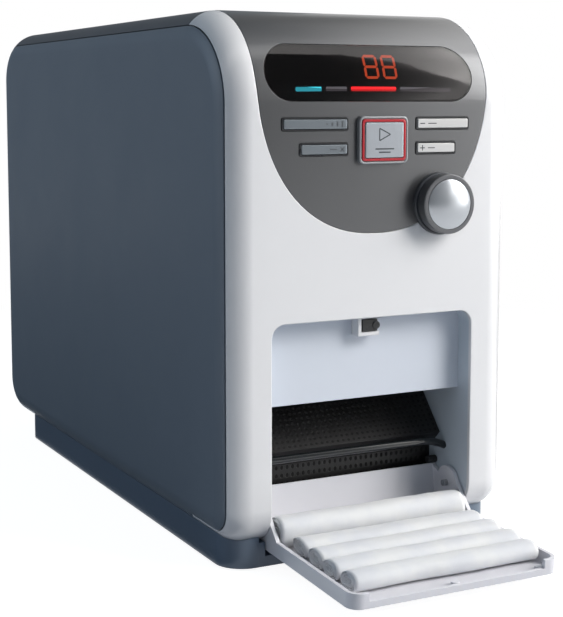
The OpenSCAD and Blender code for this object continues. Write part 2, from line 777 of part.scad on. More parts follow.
module rolled_towels() color(cloth) place() at_hinge() {
    rod_x(fresh_d, 1.5 - towel_l / 2, 1.5 + towel_l / 2, -fresh_u, -tray_drop + tray_floor + fit + fresh_d / 2);
    for (p = flat_u) flat_roll(p[1], p[0]);
}

// Towel feed
module side_frames() color(steel) place() for (s = [-1, 1]) difference() {
    x0 = s > 0 ? frame_x : -frame_x - frame_t;
    along_x(x0, x0 + frame_t) difference() {
        polygon(frame_outline);
        translate([roll_y, roll_z]) circle(d = spindle_d + 2 * run);
        translate([roll_y - spindle_d / 2 - run, roll_z]) square([spindle_d + 2 * run, 60]);
        translate([feed_y, feed_z]) circle(d = shaft_d + 2 * run);
        translate([feed_y, pinch_z]) circle(d = shaft_d + 2 * run);
        translate([pinion_y, pinion_z]) circle(d = 8.2);
        for (p = [wind_rear, wind_top, arm_pivot]) translate(p) circle(d = 5 + 2 * run);
        translate([spray_y, spray_z]) circle(d = 6.2);
    }
}

module supply_roll() color(cloth) place() difference() {
    rod_x(roll_d, -roll_w / 2, roll_w / 2, roll_y, roll_z);
    rod_x(roll_core_d, -roll_w / 2 - 1, roll_w / 2 + 1, roll_y, roll_z);
}

module roll_spindle() color(steel) place() {
    rod_x(spindle_d, -frame_x - frame_t - 2, frame_x + frame_t + 2, roll_y, roll_z);
    rod_x(roll_core_d - 2 * (touch + touch), -roll_w / 2 - 3, roll_w / 2 + 3, roll_y, roll_z);
    for (s = [-1, 1]) {
        x0 = s > 0 ? roll_w / 2 + fit : -roll_w / 2 - fit - 3;
        rod_x(roll_core_d + 18, x0, x0 + 3, roll_y, roll_z);
    }
}

module feed_roller() color(rubber) place() {
    rod_x(feed_d, -frame_x + 6, frame_x - 6, feed_y, feed_z);
    rod_x(shaft_d, -frame_x - frame_t - 3, gear_x + gear_w + 1, feed_y, feed_z);
}

module pinch_roller() color(silver) place() {
    rod_x(pinch_d, -frame_x + 6, frame_x - 6, feed_y, pinch_z);
    rod_x(shaft_d, -frame_x - frame_t - 3, frame_x + frame_t + 0.6, feed_y, pinch_z);
}

module gear_outline(teeth, phase) {
    pitch_r = teeth * gear_m / 2;
    step = 360 / teeth;
    polygon([for (k = [0:teeth - 1], q = [[-0.3, -1.15], [-0.15, 0.75], [0.15, 0.75], [0.3, -1.15]])
        (pitch_r + q[1] * gear_m) * [cos(phase + step * (k + q[0])), sin(phase + step * (k + q[0]))]]);
}

module feed_gear() color(silver) place() translate([gear_x, feed_y, feed_z]) rotate([90, 0, 90]) difference() {
    linear_extrude(gear_w) gear_outline(feed_teeth, pinion_angle);
    translate([0, 0, -1]) cylinder(d = shaft_d + 2 * run, h = gear_w + 2);
}

module motor_pinion() color("#c9b16a") place() translate([gear_x, pinion_y, pinion_z]) rotate([90, 0, 90]) {
    linear_extrude(gear_w) gear_outline(pinion_teeth, pinion_angle + 180 + 180 / pinion_teeth);
    translate([0, 0, -12]) cylinder(d = 4, h = 12 + eps);
}

module feed_motor() color(silver) place() difference() {
    union() {
        rod_x(motor_d, frame_x - motor_l, frame_x, pinion_y, pinion_z);
        rod_x(7, frame_x - eps, frame_x + frame_t, pinion_y, pinion_z);
    }
    rod_x(4 + 2 * run, gear_x - 13, gear_x, pinion_y, pinion_z);
}

module cutter_bed() color(steel) place() {
    block([-frame_x, cut_y - fit - bed_l, cut_z - 18], [frame_x, cut_y - fit, cut_z]);
    block([-frame_x, cut_y - fit - bed_l, blade_top + solenoid_h], [frame_x, cut_y + bed_l, blade_top + solenoid_h + 3]);
}

module cutter_blade() color("#d5d9dc") place() {
    block([-frame_x + fit, cut_y, cut_z + cut_travel - blade_lap], [frame_x - fit, cut_y + blade_t, cut_z + 24]);
    block([-frame_x + fit, cut_y, cut_z + 24 - eps], [frame_x - fit, cut_y + 6, blade_top]);
    for (s = [-1, 1]) translate([s * 40, cut_y + 3, blade_top - eps]) cylinder(d = 5, h = 8);
}

module cutter_solenoids() color(dark) place() for (s = [-1, 1]) difference() {
    block([s * 40 - 9, cut_y - 6, blade_top + fit], [s * 40 + 9, cut_y + bed_l, blade_top + solenoid_h]);
    translate([s * 40, cut_y + 3, blade_top - 1]) cylinder(d = 5 + 2 * run, h = 12);
}

module winding_roller(p) {
    rod_x(wind_d, -arm_x + 2, arm_x - 2, p[0], p[1]);
    rod_x(5, -frame_x - frame_t, frame_x + frame_t, p[0], p[1]);
}

module winding_roller_rear() color(rubber) place() winding_roller(wind_rear);

module winding_roller_top() color(rubber) place() winding_roller(wind_top);

module winding_roller_front() color(rubber) place() {
    rod_x(wind_d, -arm_x + 2, arm_x - 2, wind_front[0], wind_front[1]);
    rod_x(5, -arm_x - arm_t, arm_x + arm_t, wind_front[0], wind_front[1]);
}

module release_arm() color(steel) place() {
    for (s = [-1, 1]) {
        x0 = s > 0 ? arm_x : -arm_x - arm_t;
        along_x(x0, x0 + arm_t) difference() {
            union() {
                translate(wind_front) circle(d = 11);
                translate(arm_pivot) circle(d = 11);
                translate([wind_front[0] - 4, wind_front[1]]) square([8, arm_pivot[1] - wind_front[1]]);
            }
            translate(wind_front) circle(d = 5 + 2 * run);
        }
    }
    rod_x(5, -frame_x - frame_t, frame_x + frame_t, arm_pivot[0], arm_pivot[1]);
}

module spray_bar() color("#3b6f8f") place() {
    rod_x(spray_d, -frame_x, frame_x, spray_y, spray_z);
    rod_x(6, -frame_x - frame_t - 8, -frame_x + eps, spray_y, spray_z);
    rod_x(6, frame_x - eps, frame_x + frame_t, spray_y, spray_z);
    for (k = [-2.5:2.5]) translate([k * 22, spray_y, spray_z - spray_d / 2 - 3]) cylinder(d1 = 2, d2 = 4, h = 4);
}

// Water and cooling
module water_tank() color("#a9c4d6") place() difference() {
    union() {
        block([-tank_half_w, tank_y, tank_z], [tank_half_w, tank_y + tank_d, tank_z + tank_h]);
        translate([0, tank_y + tank_d / 2, tank_z + tank_h - eps]) cylinder(d = neck_d, h = neck_h);
        for (s = [-1, 1]) {
            x1 = frame_x + frame_t;
            block([s > 0 ? tank_half_w - 1 : -x1, tank_y + 8, tank_z], [s > 0 ? x1 : -tank_half_w + 1, tank_y + tank_d - 8, tank_z + 6]);
        }
        translate([tank_outlet_x, tank_outlet_y, tank_z - 8]) cylinder(d = 9, h = 8 + eps);
    }
    block([-tank_half_w + tank_wall, tank_y + tank_wall, tank_z + tank_wall],
        [tank_half_w - tank_wall, tank_y + tank_d - tank_wall, tank_z + tank_h - tank_wall]);
    translate([0, tank_y + tank_d / 2, tank_z + tank_h - 5]) cylinder(d = neck_d - 5, h = neck_h + 6);
}

module tank_cap() color(rubber) place() translate([0, tank_y + tank_d / 2, tank_z + tank_h]) difference() {
    union() {
        translate([0, 0, fit]) cylinder(d = cap_d, h = neck_h + 3);
        for (a = [0:30:330]) rotate([0, 0, a]) translate([cap_d / 2, 0, fit]) cylinder(d = 2, h = neck_h + 2);
    }
    translate([0, 0, -1]) cylinder(d = neck_d + 2 * run, h = neck_h + 1 + fit);
}

module water_pump() color(dark) place() {
    rod_y(28, pump_x, pump_z, pump_y - 48, pump_y);
    rod_y(22, pump_x, pump_z, pump_y - eps, pump_y + 12);
    block([pump_x - 14, pump_y - 44, deck_z], [pump_x + 14, pump_y - 4, deck_z + 6]);
    translate([pump_x, pump_y + 6, pump_z]) cylinder(d = 7, h = 18);
    translate([pump_x, pump_y - 36, pump_z]) cylinder(d = 7, h = 20);
}

// A hose swept along points by functions
function unit(v) = v / norm(v);
function frame_at(path, i) = unit(path[min(i + 1, len(path) - 1)] - path[max(i - 1, 0)]);
function side_of(t) = unit(cross(t, [1, 0, 0]));
function bend(a, b, c, n = 5) = [for (k = [0:n]) let (t = k / n) (1 - t) * (1 - t) * a + 2 * t * (1 - t) * b + t * t * c];
function soft(points, r) = concat([points[0]],
    [for (i = [1:len(points) - 2]) let (b = points[i])
        each bend(b + r * unit(points[i - 1] - b), b, b + r * unit(points[i + 1] - b))],
    [points[len(points) - 1]]);

module hose(points, d, r = 12, n = 8) {
    path = soft(points, r);
    rings = [for (i = [0:len(path) - 1]) let (t = frame_at(path, i), u = side_of(t), v = cross(t, u))
        [for (k = [0:n - 1]) path[i] + d / 2 * (cos(360 * k / n) * u + sin(360 * k / n) * v)]];
    last = len(path) - 1;
    faces = concat([[for (k = [0:n - 1]) k]], [[for (k = [n - 1:-1:0]) last * n + k]],
        [for (i = [0:last - 1], k = [0:n - 1]) each [[i * n + k, i * n + (k + 1) % n, (i + 1) * n + (k + 1) % n],
            [i * n + k, (i + 1) * n + (k + 1) % n, (i + 1) * n + k]]]);
    polyhedron([for (ring = rings) each ring], [for (f = faces) [for (k = [len(f) - 1:-1:0]) f[k]]]);
}

module water_hoses() color("#9fb7c4") place() {
    pump_top = pump_z + 20;
    spray_x = -frame_x + 10;
    hose([[tank_outlet_x, tank_outlet_y, tank_z - 8], [tank_outlet_x, tank_outlet_y, tank_z - 28],
        [pump_x, pump_y + 6, pump_z + 54], [pump_x, pump_y + 6, pump_z + 18]], 7);
    hose([[pump_x, pump_y - 36, pump_top], [pump_x, pump_y - 36, pump_top + 22], [spray_x, pump_y - 80, pump_top + 30],
        [spray_x, spray_y, pump_top + 75], [spray_x, spray_y, spray_z - spray_d / 2 - fit]], 6);
}

module heat_sink() color(steel) place() {
    y1 = fan_rear - fan_t - sink_gap;
    y0 = y1 - sink_l;
    block([fan_x - 30, y0, fan_z - 30], [fan_x + 30, y0 + 5, fan_z + 30]);
    for (k = [0:10]) block([fan_x - 30 + 5.85 * k, y0 + 5 - eps, fan_z - 30], [fan_x - 28.5 + 5.85 * k, y1, fan_z + 30]);
    block([fan_x - 20, y0 - 4, fan_z - 20], [fan_x + 20, y0, fan_z + 20]);
    block([fan_x - 24, y0 - 16, fan_z - 24], [fan_x + 24, y0 - 4, fan_z + 24]);
}

module fan_frame() color(dark) place() {
    y0 = fan_rear - fan_t;
    difference() {
        on_front(y0, fan_rear) translate([fan_x, fan_z]) rounded(fan_w, fan_w, 5);
        rod_y(fan_w - 5, fan_x, fan_z, y0 - 1, fan_rear + 1);
    }
    difference() {
        union() {
            for (a = [45:90:315]) translate([fan_x, y0 + 1.5, fan_z]) rotate([0, a, 0])
                block([-2, -1.5, 0], [2, 1.5, fan_w / 2 - 1.5]);
            rod_y(22, fan_x, fan_z, y0, y0 + 3);
            rod_y(4, fan_x, fan_z, y0, y0 + 9);
        }
    }
}

module fan_rotor() color(rubber) place() {
    y0 = fan_rear - fan_t + 3 + fit;
    y1 = fan_rear - 1;
    difference() {
        rod_y(26, fan_x, fan_z, y0, y1);
        rod_y(4 + 2 * run, fan_x, fan_z, y0 - 1, y0 + 7);
    }
    intersection() {
        for (k = [0:6]) translate([fan_x, (y0 + y1) / 2, fan_z]) rotate([0, k * 360 / 7, 0]) rotate([0, 0, 38])
            block([-9, -0.8, 12], [9, 0.8, fan_w / 2]);
        rod_y(fan_w - 8, fan_x, fan_z, y0, y1);
    }
}

module power_supply() color(steel) place() {
    block(psu[0], psu[1]);
    block([psu[0][0] + 6, psu[0][1] - 8, deck_z], [psu[1][0] - 6, psu[0][1] + eps, deck_z + 14]);
}

module mains_inlet() color(dark) place() {
    difference() {
        union() {
            block([inlet_x - inlet_w / 2, case_d, inlet_z - inlet_h / 2], [inlet_x + inlet_w / 2, case_d + 2.5, inlet_z + inlet_h / 2]);
            block([inlet_x - 13.7, case_d - 18, inlet_z - 10.2], [inlet_x + 13.7, case_d + eps, inlet_z + 10.2]);
        }
        block([inlet_x - 12, case_d - 14, inlet_z - 8], [inlet_x + 12, case_d + 4, inlet_z + 8]);
        for (s = [-1, 1]) rod_y(3.4, inlet_x + s * 22, inlet_z, case_d - 1, case_d + 4);
    }
    for (k = [-1, 0, 1]) block([inlet_x + 7 * k - 1, case_d - 15, inlet_z - 2 - (k == 0 ? 3 : 0)],
        [inlet_x + 7 * k + 1, case_d - 1, inlet_z + 2 - (k == 0 ? 3 : 0)]);
    difference() {
        union() {
            block([rocker_x - 8.5, case_d, rocker_z - 11.5], [rocker_x + 8.5, case_d + 2, rocker_z + 11.5]);
            block([rocker_x - 6.7, case_d - 14, rocker_z - 9.7], [rocker_x + 6.7, case_d + eps, rocker_z + 9.7]);
        }
        block([rocker_x - 5.2, case_d - 10, rocker_z - 8.4], [rocker_x + 5.2, case_d + 3, rocker_z + 8.4]);
    }
    rod_x(rocker_pin_d, rocker_x - 6, rocker_x + 6, case_d - 5, rocker_z);
}

module rocker_switch() color(dark) place() difference() {
    along_x(rocker_x - 5, rocker_x + 5) intersection() {
        polygon([[case_d - 8, rocker_z - 2], [case_d + 0.4, rocker_z - 7.4], [case_d + 1.2, rocker_z],
            [case_d + 3, rocker_z + 6], [case_d - 1, rocker_z + 6.2], [case_d - 8, rocker_z + 2]]);
        translate([case_d - 4, rocker_z]) circle(r = 11);
    }
    rod_x(rocker_pin_d + 2 * run, rocker_x - 6, rocker_x + 6, case_d - 5, rocker_z);
}

base_plinth();
rubber_feet();
left_side_panel();
right_side_panel();
front_cover();
control_panel();
top_lid();
back_cover();
hinge_pins();
cover_screws();
display_window();
display_leds();
display_carrier();
control_board();
start_bezel();
start_ring();
start_button();
mode_button();
cancel_button();
minus_button();
plus_button();
button_bezels();
knob_base();
knob_ring();
knob_cap();
bay_liner();
inner_plate();
latch_bracket();
latch_plunger();
chute_plate();
guide_bar();
tray();
tray_bumpers();
rolled_towels();
side_frames();
supply_roll();
roll_spindle();
feed_roller();
feed_gear();
pinch_roller();
feed_motor();
motor_pinion();
cutter_bed();
cutter_blade();
cutter_solenoids();
winding_roller_front();
winding_roller_rear();
winding_roller_top();
release_arm();
spray_bar();
water_tank();
tank_cap();
water_pump();
water_hoses();
heat_sink();
fan_frame();
fan_rotor();
power_supply();
mains_inlet();
rocker_switch();
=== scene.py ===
# Wet towel dispenser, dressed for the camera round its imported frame.
# Sizes are in millimetres from the casing's front face and the ground, and go into each mesh in metres.
from math import asin, atan2, copysign, cos, pi, radians, sin, sqrt, tau

import bmesh
import bpy
from mathutils import Matrix, Vector, noise


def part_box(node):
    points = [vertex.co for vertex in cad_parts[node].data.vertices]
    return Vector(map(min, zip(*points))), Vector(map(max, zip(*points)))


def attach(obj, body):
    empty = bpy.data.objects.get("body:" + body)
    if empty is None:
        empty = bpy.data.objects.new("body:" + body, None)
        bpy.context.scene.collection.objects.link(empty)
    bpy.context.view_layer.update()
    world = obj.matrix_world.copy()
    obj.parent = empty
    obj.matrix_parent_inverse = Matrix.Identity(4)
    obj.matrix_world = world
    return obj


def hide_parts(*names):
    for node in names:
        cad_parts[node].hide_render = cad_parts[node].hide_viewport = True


ops = bmesh.ops
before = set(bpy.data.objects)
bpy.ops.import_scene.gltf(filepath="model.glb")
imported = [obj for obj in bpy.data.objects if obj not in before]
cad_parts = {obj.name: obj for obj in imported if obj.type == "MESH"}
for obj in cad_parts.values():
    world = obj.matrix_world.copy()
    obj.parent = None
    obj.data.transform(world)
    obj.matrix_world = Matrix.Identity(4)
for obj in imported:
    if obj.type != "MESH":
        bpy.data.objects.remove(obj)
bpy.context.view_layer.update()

# Camera
# It stands to the left of the dispenser and a little above its top, as for the photograph.
mm = 0.001
front_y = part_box("front_cover")[0].y / mm


def spot(x, y, z):
    """A place in metres, from millimetres across, behind the front face and above the ground."""
    return Vector((x, y + front_y, z)) * mm


scene = bpy.context.scene


def put(name, data):
    """A new object in the scene."""
    thing = bpy.data.objects.new(name, data)
    scene.collection.objects.link(thing)
    return thing


lens = bpy.data.cameras.new("lens")
lens.sensor_width = 36
lens.lens = 81.74
lens.shift_y = -0.0948
camera = put("camera", lens)
camera.location = spot(-433.7, -719.2, 278.1)
camera.rotation_euler = Vector((0.4548, 0.8844, -0.1051)).to_track_quat("-Z", "Y").to_euler()
scene.camera = camera

# Studio light and floor
# Two soft boxes stand to the right in front and a weak one fills the left. Glowing cards, which only the
# glossy faces see, stand in for the boxes in their reflections. The paper floor is white.
scene.view_settings.view_transform = "Standard"
white = (1, 1, 1, 1)
warm = (1.0, 0.985, 0.96)


def soft_box(name, place, aim, size, power, colour, mirrored=True):
    lamp = bpy.data.lights.new(name, "AREA")
    lamp.shape = "RECTANGLE"
    lamp.size, lamp.size_y = size
    lamp.energy = power
    lamp.color = colour
    stand = put(name, lamp)
    stand.location = place
    stand.rotation_euler = (Vector(aim) - Vector(place)).to_track_quat("-Z", "Y").to_euler()
    stand.visible_glossy = stand.visible_transmission = mirrored


soft_box("key_box", (1.68, -1.06, 1.15), (0, -0.05, 0.17), (1.6, 2.2), 43, warm, False)
soft_box("front_box", (0.98, -1.22, 1.12), (0, -0.1, 0.17), (0.8, 0.8), 18, warm, False)
soft_box("left_box", (-1.5, 0.8, 0.9), (0, 0, 0.17), (1.0, 1.0), 4.6, (0.62, 0.8, 1.0))


def add(tree, kind):
    return tree.nodes.new("ShaderNode" + kind)


def feed(tree, socket, value):
    """Gives a socket a constant, or links another socket to it."""
    if isinstance(value, (int, float, tuple)):
        socket.default_value = value
    else:
        tree.links.new(value, socket)


def maths(tree, operation, *values):
    node = add(tree, "Math")
    node.operation = operation
    for place, value in enumerate(values):
        feed(tree, node.inputs[place], value)
    return node.outputs[0]


def spread(tree, source, low, high, start=0.0, end=1.0, way="SMOOTHSTEP"):
    """Maps start..end onto low..high. Each of them is a number or a socket."""
    node = add(tree, "MapRange")
    node.interpolation_type = way
    for label, value in (("Value", source), ("From Min", start), ("From Max", end), ("To Min", low),
                         ("To Max", high)):
        feed(tree, node.inputs[label], value)
    return node.outputs[0]


def shader(tree, kind, colour, strength=None):
    """A plain shader, by its kind, colour and, where it gives light, its strength."""
    node = add(tree, kind)
    node.inputs["Color"].default_value = colour
    if strength is not None:
        node.inputs["Strength"].default_value = strength
    return node.outputs[0]


def mix_shader(tree, share, first, second):
    node = add(tree, "MixShader")
    for place, socket in enumerate((share, first, second)):
        tree.links.new(socket, node.inputs[place])
    return node.outputs[0]


def bright_where_seen(tree, plain, shown):
    """Mixes two shaders, so that the camera, glossy and transmission rays meet the second one."""
    path = add(tree, "LightPath")
    seen = path.outputs["Is Camera Ray"]
    for ray in ("Is Glossy Ray", "Is Transmission Ray"):
        seen = maths(tree, "MAXIMUM", seen, path.outputs[ray])
    return mix_shader(tree, seen, plain, shown)


world = bpy.data.worlds.new("studio_air")
world.use_nodes = True
scene.world = world
air = world.node_tree
air.nodes.clear()
dim_air = shader(air, "Background", (0.72, 0.86, 1.0, 1), 0.24)
white_air = shader(air, "Background", white, 1)
air_out = add(air, "OutputWorld")
air.links.new(bright_where_seen(air, dim_air, white_air), air_out.inputs["Surface"])


def studio_sheet(name, corners, made):
    """A flat sheet of studio paper or card, which isn't part of the dispenser."""
    mesh = bpy.data.meshes.new(name)
    mesh.from_pydata(corners, [], [tuple(range(len(corners)))])
    mesh.materials.append(made)
    sheet = put(name, mesh)
    return sheet


def lying(z, x0, y0, x1, y1):
    """The corners of a level rectangle."""
    return [(x0, y0, z), (x1, y0, z), (x1, y1, z), (x0, y1, z)]


def standing(y, *corners):
    """Corners given as (x, z), on a plane across the studio."""
    return [(x, y, z) for x, z in corners]


def new_material(name):
    made = bpy.data.materials.new(name)
    made.use_nodes = True
    return made, made.node_tree


paper, floor_tree = new_material("paper_floor")
floor_tree.nodes.clear()
paper_glow = 0.93
near_paper = add(floor_tree, "AddShader")
floor_tree.links.new(shader(floor_tree, "Emission", white, paper_glow), near_paper.inputs[0])
floor_tree.links.new(shader(floor_tree, "BsdfDiffuse", (0.35, 0.35, 0.35, 1)), near_paper.inputs[1])
far_paper = shader(floor_tree, "Emission", white, 1)
floor_reach = add(floor_tree, "VectorMath")
floor_reach.operation = "LENGTH"
floor_tree.links.new(add(floor_tree, "TexCoord").outputs["Object"], floor_reach.inputs[0])
fade = spread(floor_tree, floor_reach.outputs["Value"], 0, 1, 0.35, 0.95)
lit_paper = mix_shader(floor_tree, fade, near_paper.outputs[0], far_paper)
matt_paper = shader(floor_tree, "BsdfDiffuse", (0.4, 0.42, 0.46, 1))
paper_out = add(floor_tree, "OutputMaterial")
floor_tree.links.new(bright_where_seen(floor_tree, matt_paper, lit_paper), paper_out.inputs["Surface"])
studio_sheet("floor", lying(0, -5, -5, 5, 5), paper)


def glowing(name, base, rough, colour, strength):
    """A material that gives light of its own."""
    made, tree = new_material(name)
    skin = tree.nodes["Principled BSDF"]
    for label, value in (("Base Color", base), ("Roughness", rough), ("Emission Color", colour),
                         ("Emission Strength", strength)):
        skin.inputs[label].default_value = value
    return made, skin


def studio_card(name, corners, glow, colour=(0.78, 0.89, 1.0, 1)):
    """A card for the glossy faces to mirror, out of the camera's sight; it casts no shadow."""
    made, skin = glowing(name, (0.03, 0.035, 0.042, 1), 0.9, colour, glow)
    card = studio_sheet(name, corners, made)
    card.visible_camera = card.visible_shadow = card.visible_diffuse = False
    return made.node_tree, skin


def brighter_along(name, corners, way, start, end, bend, least, most):
    """A card whose light grows along a direction, from least at the start to most at the end."""
    tree, skin = studio_card(name, corners, least, warm + (1,))
    along = add(tree, "VectorMath")
    along.operation = "DOT_PRODUCT"
    along.inputs[1].default_value = way
    tree.links.new(add(tree, "TexCoord").outputs["Object"], along.inputs[0])
    share = maths(tree, "POWER", spread(tree, along.outputs["Value"], 0, 1, start, end, "LINEAR"), bend)
    light = maths(tree, "MULTIPLY_ADD", share, most - least, least)
    tree.links.new(light, skin.inputs["Emission Strength"])


card_y, shine_y, card_z = -1.95, -2.05, 0.002
studio_card("front_low_card", standing(card_y, (-5, 0), (1.05, 0), (1.1, 0.4), (-5, 0.4)), 0.02)
brighter_along("front_card", standing(card_y, (-5, 0.4), (1.1, 0.4), (1.4, 0.65), (1.45, 1.2), (1.54, 1.7),
                                     (1.67, 2.13), (1.9, 2.73), (2.02, 3.25), (2.09, 3.57), (-5, 3.57)),
               (1, 0, -0.35), 0.5, 1.02, 5, 0.07, 1.8)
brighter_along("high_shine", standing(shine_y, (1.0, 0.6), (6, 0.6), (6, 6), (-5, 6), (-5, 3.4), (1.0, 3.4)),
               (1.3, 0, -0.683), 0, 1, 4, 1.6, 6)
brighter_along("low_shine", standing(shine_y, (0.9, 0), (5, 0), (5, 0.6), (0.9, 0.6)),
               (1, 0, 0), 1, 3, 1.5, 0.3, 7.5)
brighter_along("roof_shine", lying(2.7, 1.3, -0.6, 4, 4), (1, -0.6, 0), 0.5, 1.9, 1.3, 0.25, 3.0)
studio_card("right_low_card", lying(card_z, 0.12, -0.1, 2.5, 3), 0)
studio_card("rear_card", standing(2.2, (-4, 0), (1.3, 0), (1.3, 4), (-4, 4)), 0.22)
studio_card("roof_card", lying(2.6, -3, -0.6, 1.3, 4), 0.15)
studio_card("low_card", lying(card_z, -2.1, -0.2, -0.096, 1.8), 0.03)

# Plinth and feet
# A dark moulded base, set in under the casing on all sides, stands on four rubber feet.
# Its grained finish is shared by all the plastic and metal pieces.


def node_group(name, inputs, outputs=("Colour", "Roughness", "Height")):
    """A shader group by its inputs and their defaults. Gives both its ends and the object's own places."""
    group = bpy.data.node_groups.new(name, "ShaderNodeTree")
    for label, value in inputs.items():
        kind = "NodeSocketColor" if isinstance(value, tuple) else "NodeSocketFloat"
        group.interface.new_socket(label, in_out="INPUT", socket_type=kind).default_value = value
    for label in outputs:
        kind = "NodeSocketColor" if label == "Colour" else "NodeSocketFloat"
        group.interface.new_socket(label, in_out="OUTPUT", socket_type=kind)
    start, end = group.nodes.new("NodeGroupInput"), group.nodes.new("NodeGroupOutput")
    return group, start.outputs, end.inputs, add(group, "TexCoord").outputs["Object"]


def noise_at(group, scale, detail, source, stretch=None, rough=0.5):
    """A noise in the object's own metres, stretched along an axis where asked."""
    texture = add(group, "TexNoise")
    texture.inputs["Scale"].default_value = scale
    texture.inputs["Detail"].default_value = detail
    texture.inputs["Roughness"].default_value = rough
    if stretch:
        mapping = add(group, "Mapping")
        mapping.inputs["Scale"].default_value = stretch
        group.links.new(source, mapping.inputs["Vector"])
        source = mapping.outputs[0]
    group.links.new(source, texture.inputs["Vector"])
    return texture.outputs["Fac"]


def mix_colour(group, share, first, second):
    node = add(group, "Mix")
    node.data_type = "RGBA"
    for socket, value in ((node.inputs["Factor"], share), (node.inputs[6], first), (node.inputs[7], second)):
        feed(group, socket, value)
    return node.outputs[2]


def give(group, ends, **sockets):
    """Links what a group has made to its outputs."""
    for label, socket in sockets.items():
        group.links.new(socket, ends[label])


# The moulded finish: a cloudy tone, rubbed patches, fine grain and a slow wave
moulded, given, ends, places = node_group(
    "moulded_finish", {"Colour": (0.5, 0.5, 0.5, 1), "Shade": (0.4, 0.4, 0.4, 1), "Cloud": 0.5,
                       "Gloss Low": 0.3, "Gloss High": 0.4})
cloud = spread(moulded, noise_at(moulded, 14, 3, places), 0, 1, 0.35, 0.7)
tone = maths(moulded, "MULTIPLY", cloud, given["Cloud"])
smear = noise_at(moulded, 22, 2, places)
grain = maths(moulded, "MULTIPLY", noise_at(moulded, 1500, 1, places), 0.12)
give(moulded, ends, Colour=mix_colour(moulded, tone, given["Colour"], given["Shade"]),
     Roughness=spread(moulded, smear, given["Gloss Low"], given["Gloss High"], 0.2, 0.8),
     Height=maths(moulded, "ADD", grain, noise_at(moulded, 60, 1, places)))


def tint(code):
    """A linear colour from a web code."""
    parts = [int(code[k:k + 2], 16) / 255 for k in (1, 3, 5)]
    return tuple(((p + 0.055) / 1.055) ** 2.4 if p > 0.04 else p / 12.92 for p in parts) + (1,)


def material(name, group, values, bump=0.0, **sockets):
    """A material fed by one placed group; bump is the height of its relief in millimetres."""
    made, tree = new_material(name)
    skin = tree.nodes["Principled BSDF"]
    placed = add(tree, "Group")
    placed.node_tree = group
    for label, value in values.items():
        placed.inputs[label].default_value = value
    tree.links.new(placed.outputs["Colour"], skin.inputs["Base Color"])
    tree.links.new(placed.outputs["Roughness"], skin.inputs["Roughness"])
    if bump:
        relief = add(tree, "Bump")
        relief.inputs["Strength"].default_value = 1
        relief.inputs["Distance"].default_value = bump * mm
        tree.links.new(placed.outputs["Height"], relief.inputs["Height"])
        tree.links.new(relief.outputs[0], skin.inputs["Normal"])
    for label, value in sockets.items():
        skin.inputs[label.replace("_", " ")].default_value = value
    return made


def plastic(name, colour, shade, gloss, cloud, bump, **sockets):
    values = {"Colour": tint(colour), "Shade": tint(shade), "Cloud": cloud,
              "Gloss Low": gloss[0], "Gloss High": gloss[1]}
    return material(name, moulded, values, bump, **sockets)


def repaint(made, node):
    """Gives a CAD node that keeps its shape a new material."""
    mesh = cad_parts[node].data
    mesh.materials.clear()
    mesh.materials.append(made)


def finish(shape, name, made, body, stands_for=(), crease=35, even=True):
    """Turns a bmesh in metres into a smooth-shaded object that rides on a body and stands for CAD nodes."""
    ops.recalc_face_normals(shape, faces=shape.faces)
    mesh = bpy.data.meshes.new(name)
    shape.to_mesh(mesh)
    shape.free()
    mesh.shade_smooth()
    mesh.set_sharp_from_angle(angle=radians(crease))
    mesh.materials.append(made)
    piece = put(name, mesh)
    if even:
        normals = piece.modifiers.new("even_normals", "WEIGHTED_NORMAL")
        normals.keep_sharp = True
    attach(piece, body)
    if stands_for:
        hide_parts(*stands_for)
    return piece


def bevel(shape, edges, width, segments):
    ops.bevel(shape, geom=edges, offset=width, offset_type="OFFSET", segments=segments, profile=0.5,
              affect="EDGES", clamp_overlap=True, material=-1)


def split_large(shape):
    ops.triangulate(shape, faces=[f for f in shape.faces if len(f.verts) > 4])


def round_arrises(shape, width):
    """Rounds every sharp edge, as a mould or a file leaves it."""
    sharp = [e for e in shape.edges if e.is_manifold and e.calc_face_angle() > radians(40)]
    bevel(shape, sharp, width * mm, 2)
    split_large(shape)


def from_cad(node):
    shape = bmesh.new()
    shape.from_mesh(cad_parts[node].data)
    ops.remove_doubles(shape, verts=shape.verts, dist=0.002 * mm)
    return shape


def eased(node, made, body, width):
    """A copy of a CAD node with its sharp edges rounded."""
    shape = from_cad(node)
    ops.dissolve_limit(shape, angle_limit=radians(0.5), verts=shape.verts, edges=shape.edges)
    ops.recalc_face_normals(shape, faces=shape.faces)
    round_arrises(shape, width)
    return finish(shape, node + "_eased", made, body, [node])


def arc(u, s, r, start, end, steps=8):
    """Points round a corner, angles in degrees, anticlockwise from +u."""
    return [(u + r * cos(radians(start + (end - start) * k / steps)),
             s + r * sin(radians(start + (end - start) * k / steps))) for k in range(steps + 1)]


half_flat = 82.0
edge_r = 18.0
rise = 38.5
runs = (238.0, 347.0, 250.0, 395.0)
turns = (60.0, 40.0, 30.0, 22.0)
plinth_half_w, plinth_start, plinth_end, plinth_r = 94.85, 9.25, 401.25, 18.0
plinth_t = 3.2
mouth_side = 74.0


def belly(x, y):
    """Height of the casing's underside over a place on the plinth's wall."""
    across = max(abs(x) - half_flat, 0)
    depth = edge_r - sqrt(edge_r ** 2 - across ** 2)
    low_r = turns[3]
    if y < low_r:
        return rise - sqrt((low_r - depth) ** 2 - (low_r - y) ** 2)
    return rise - low_r + depth


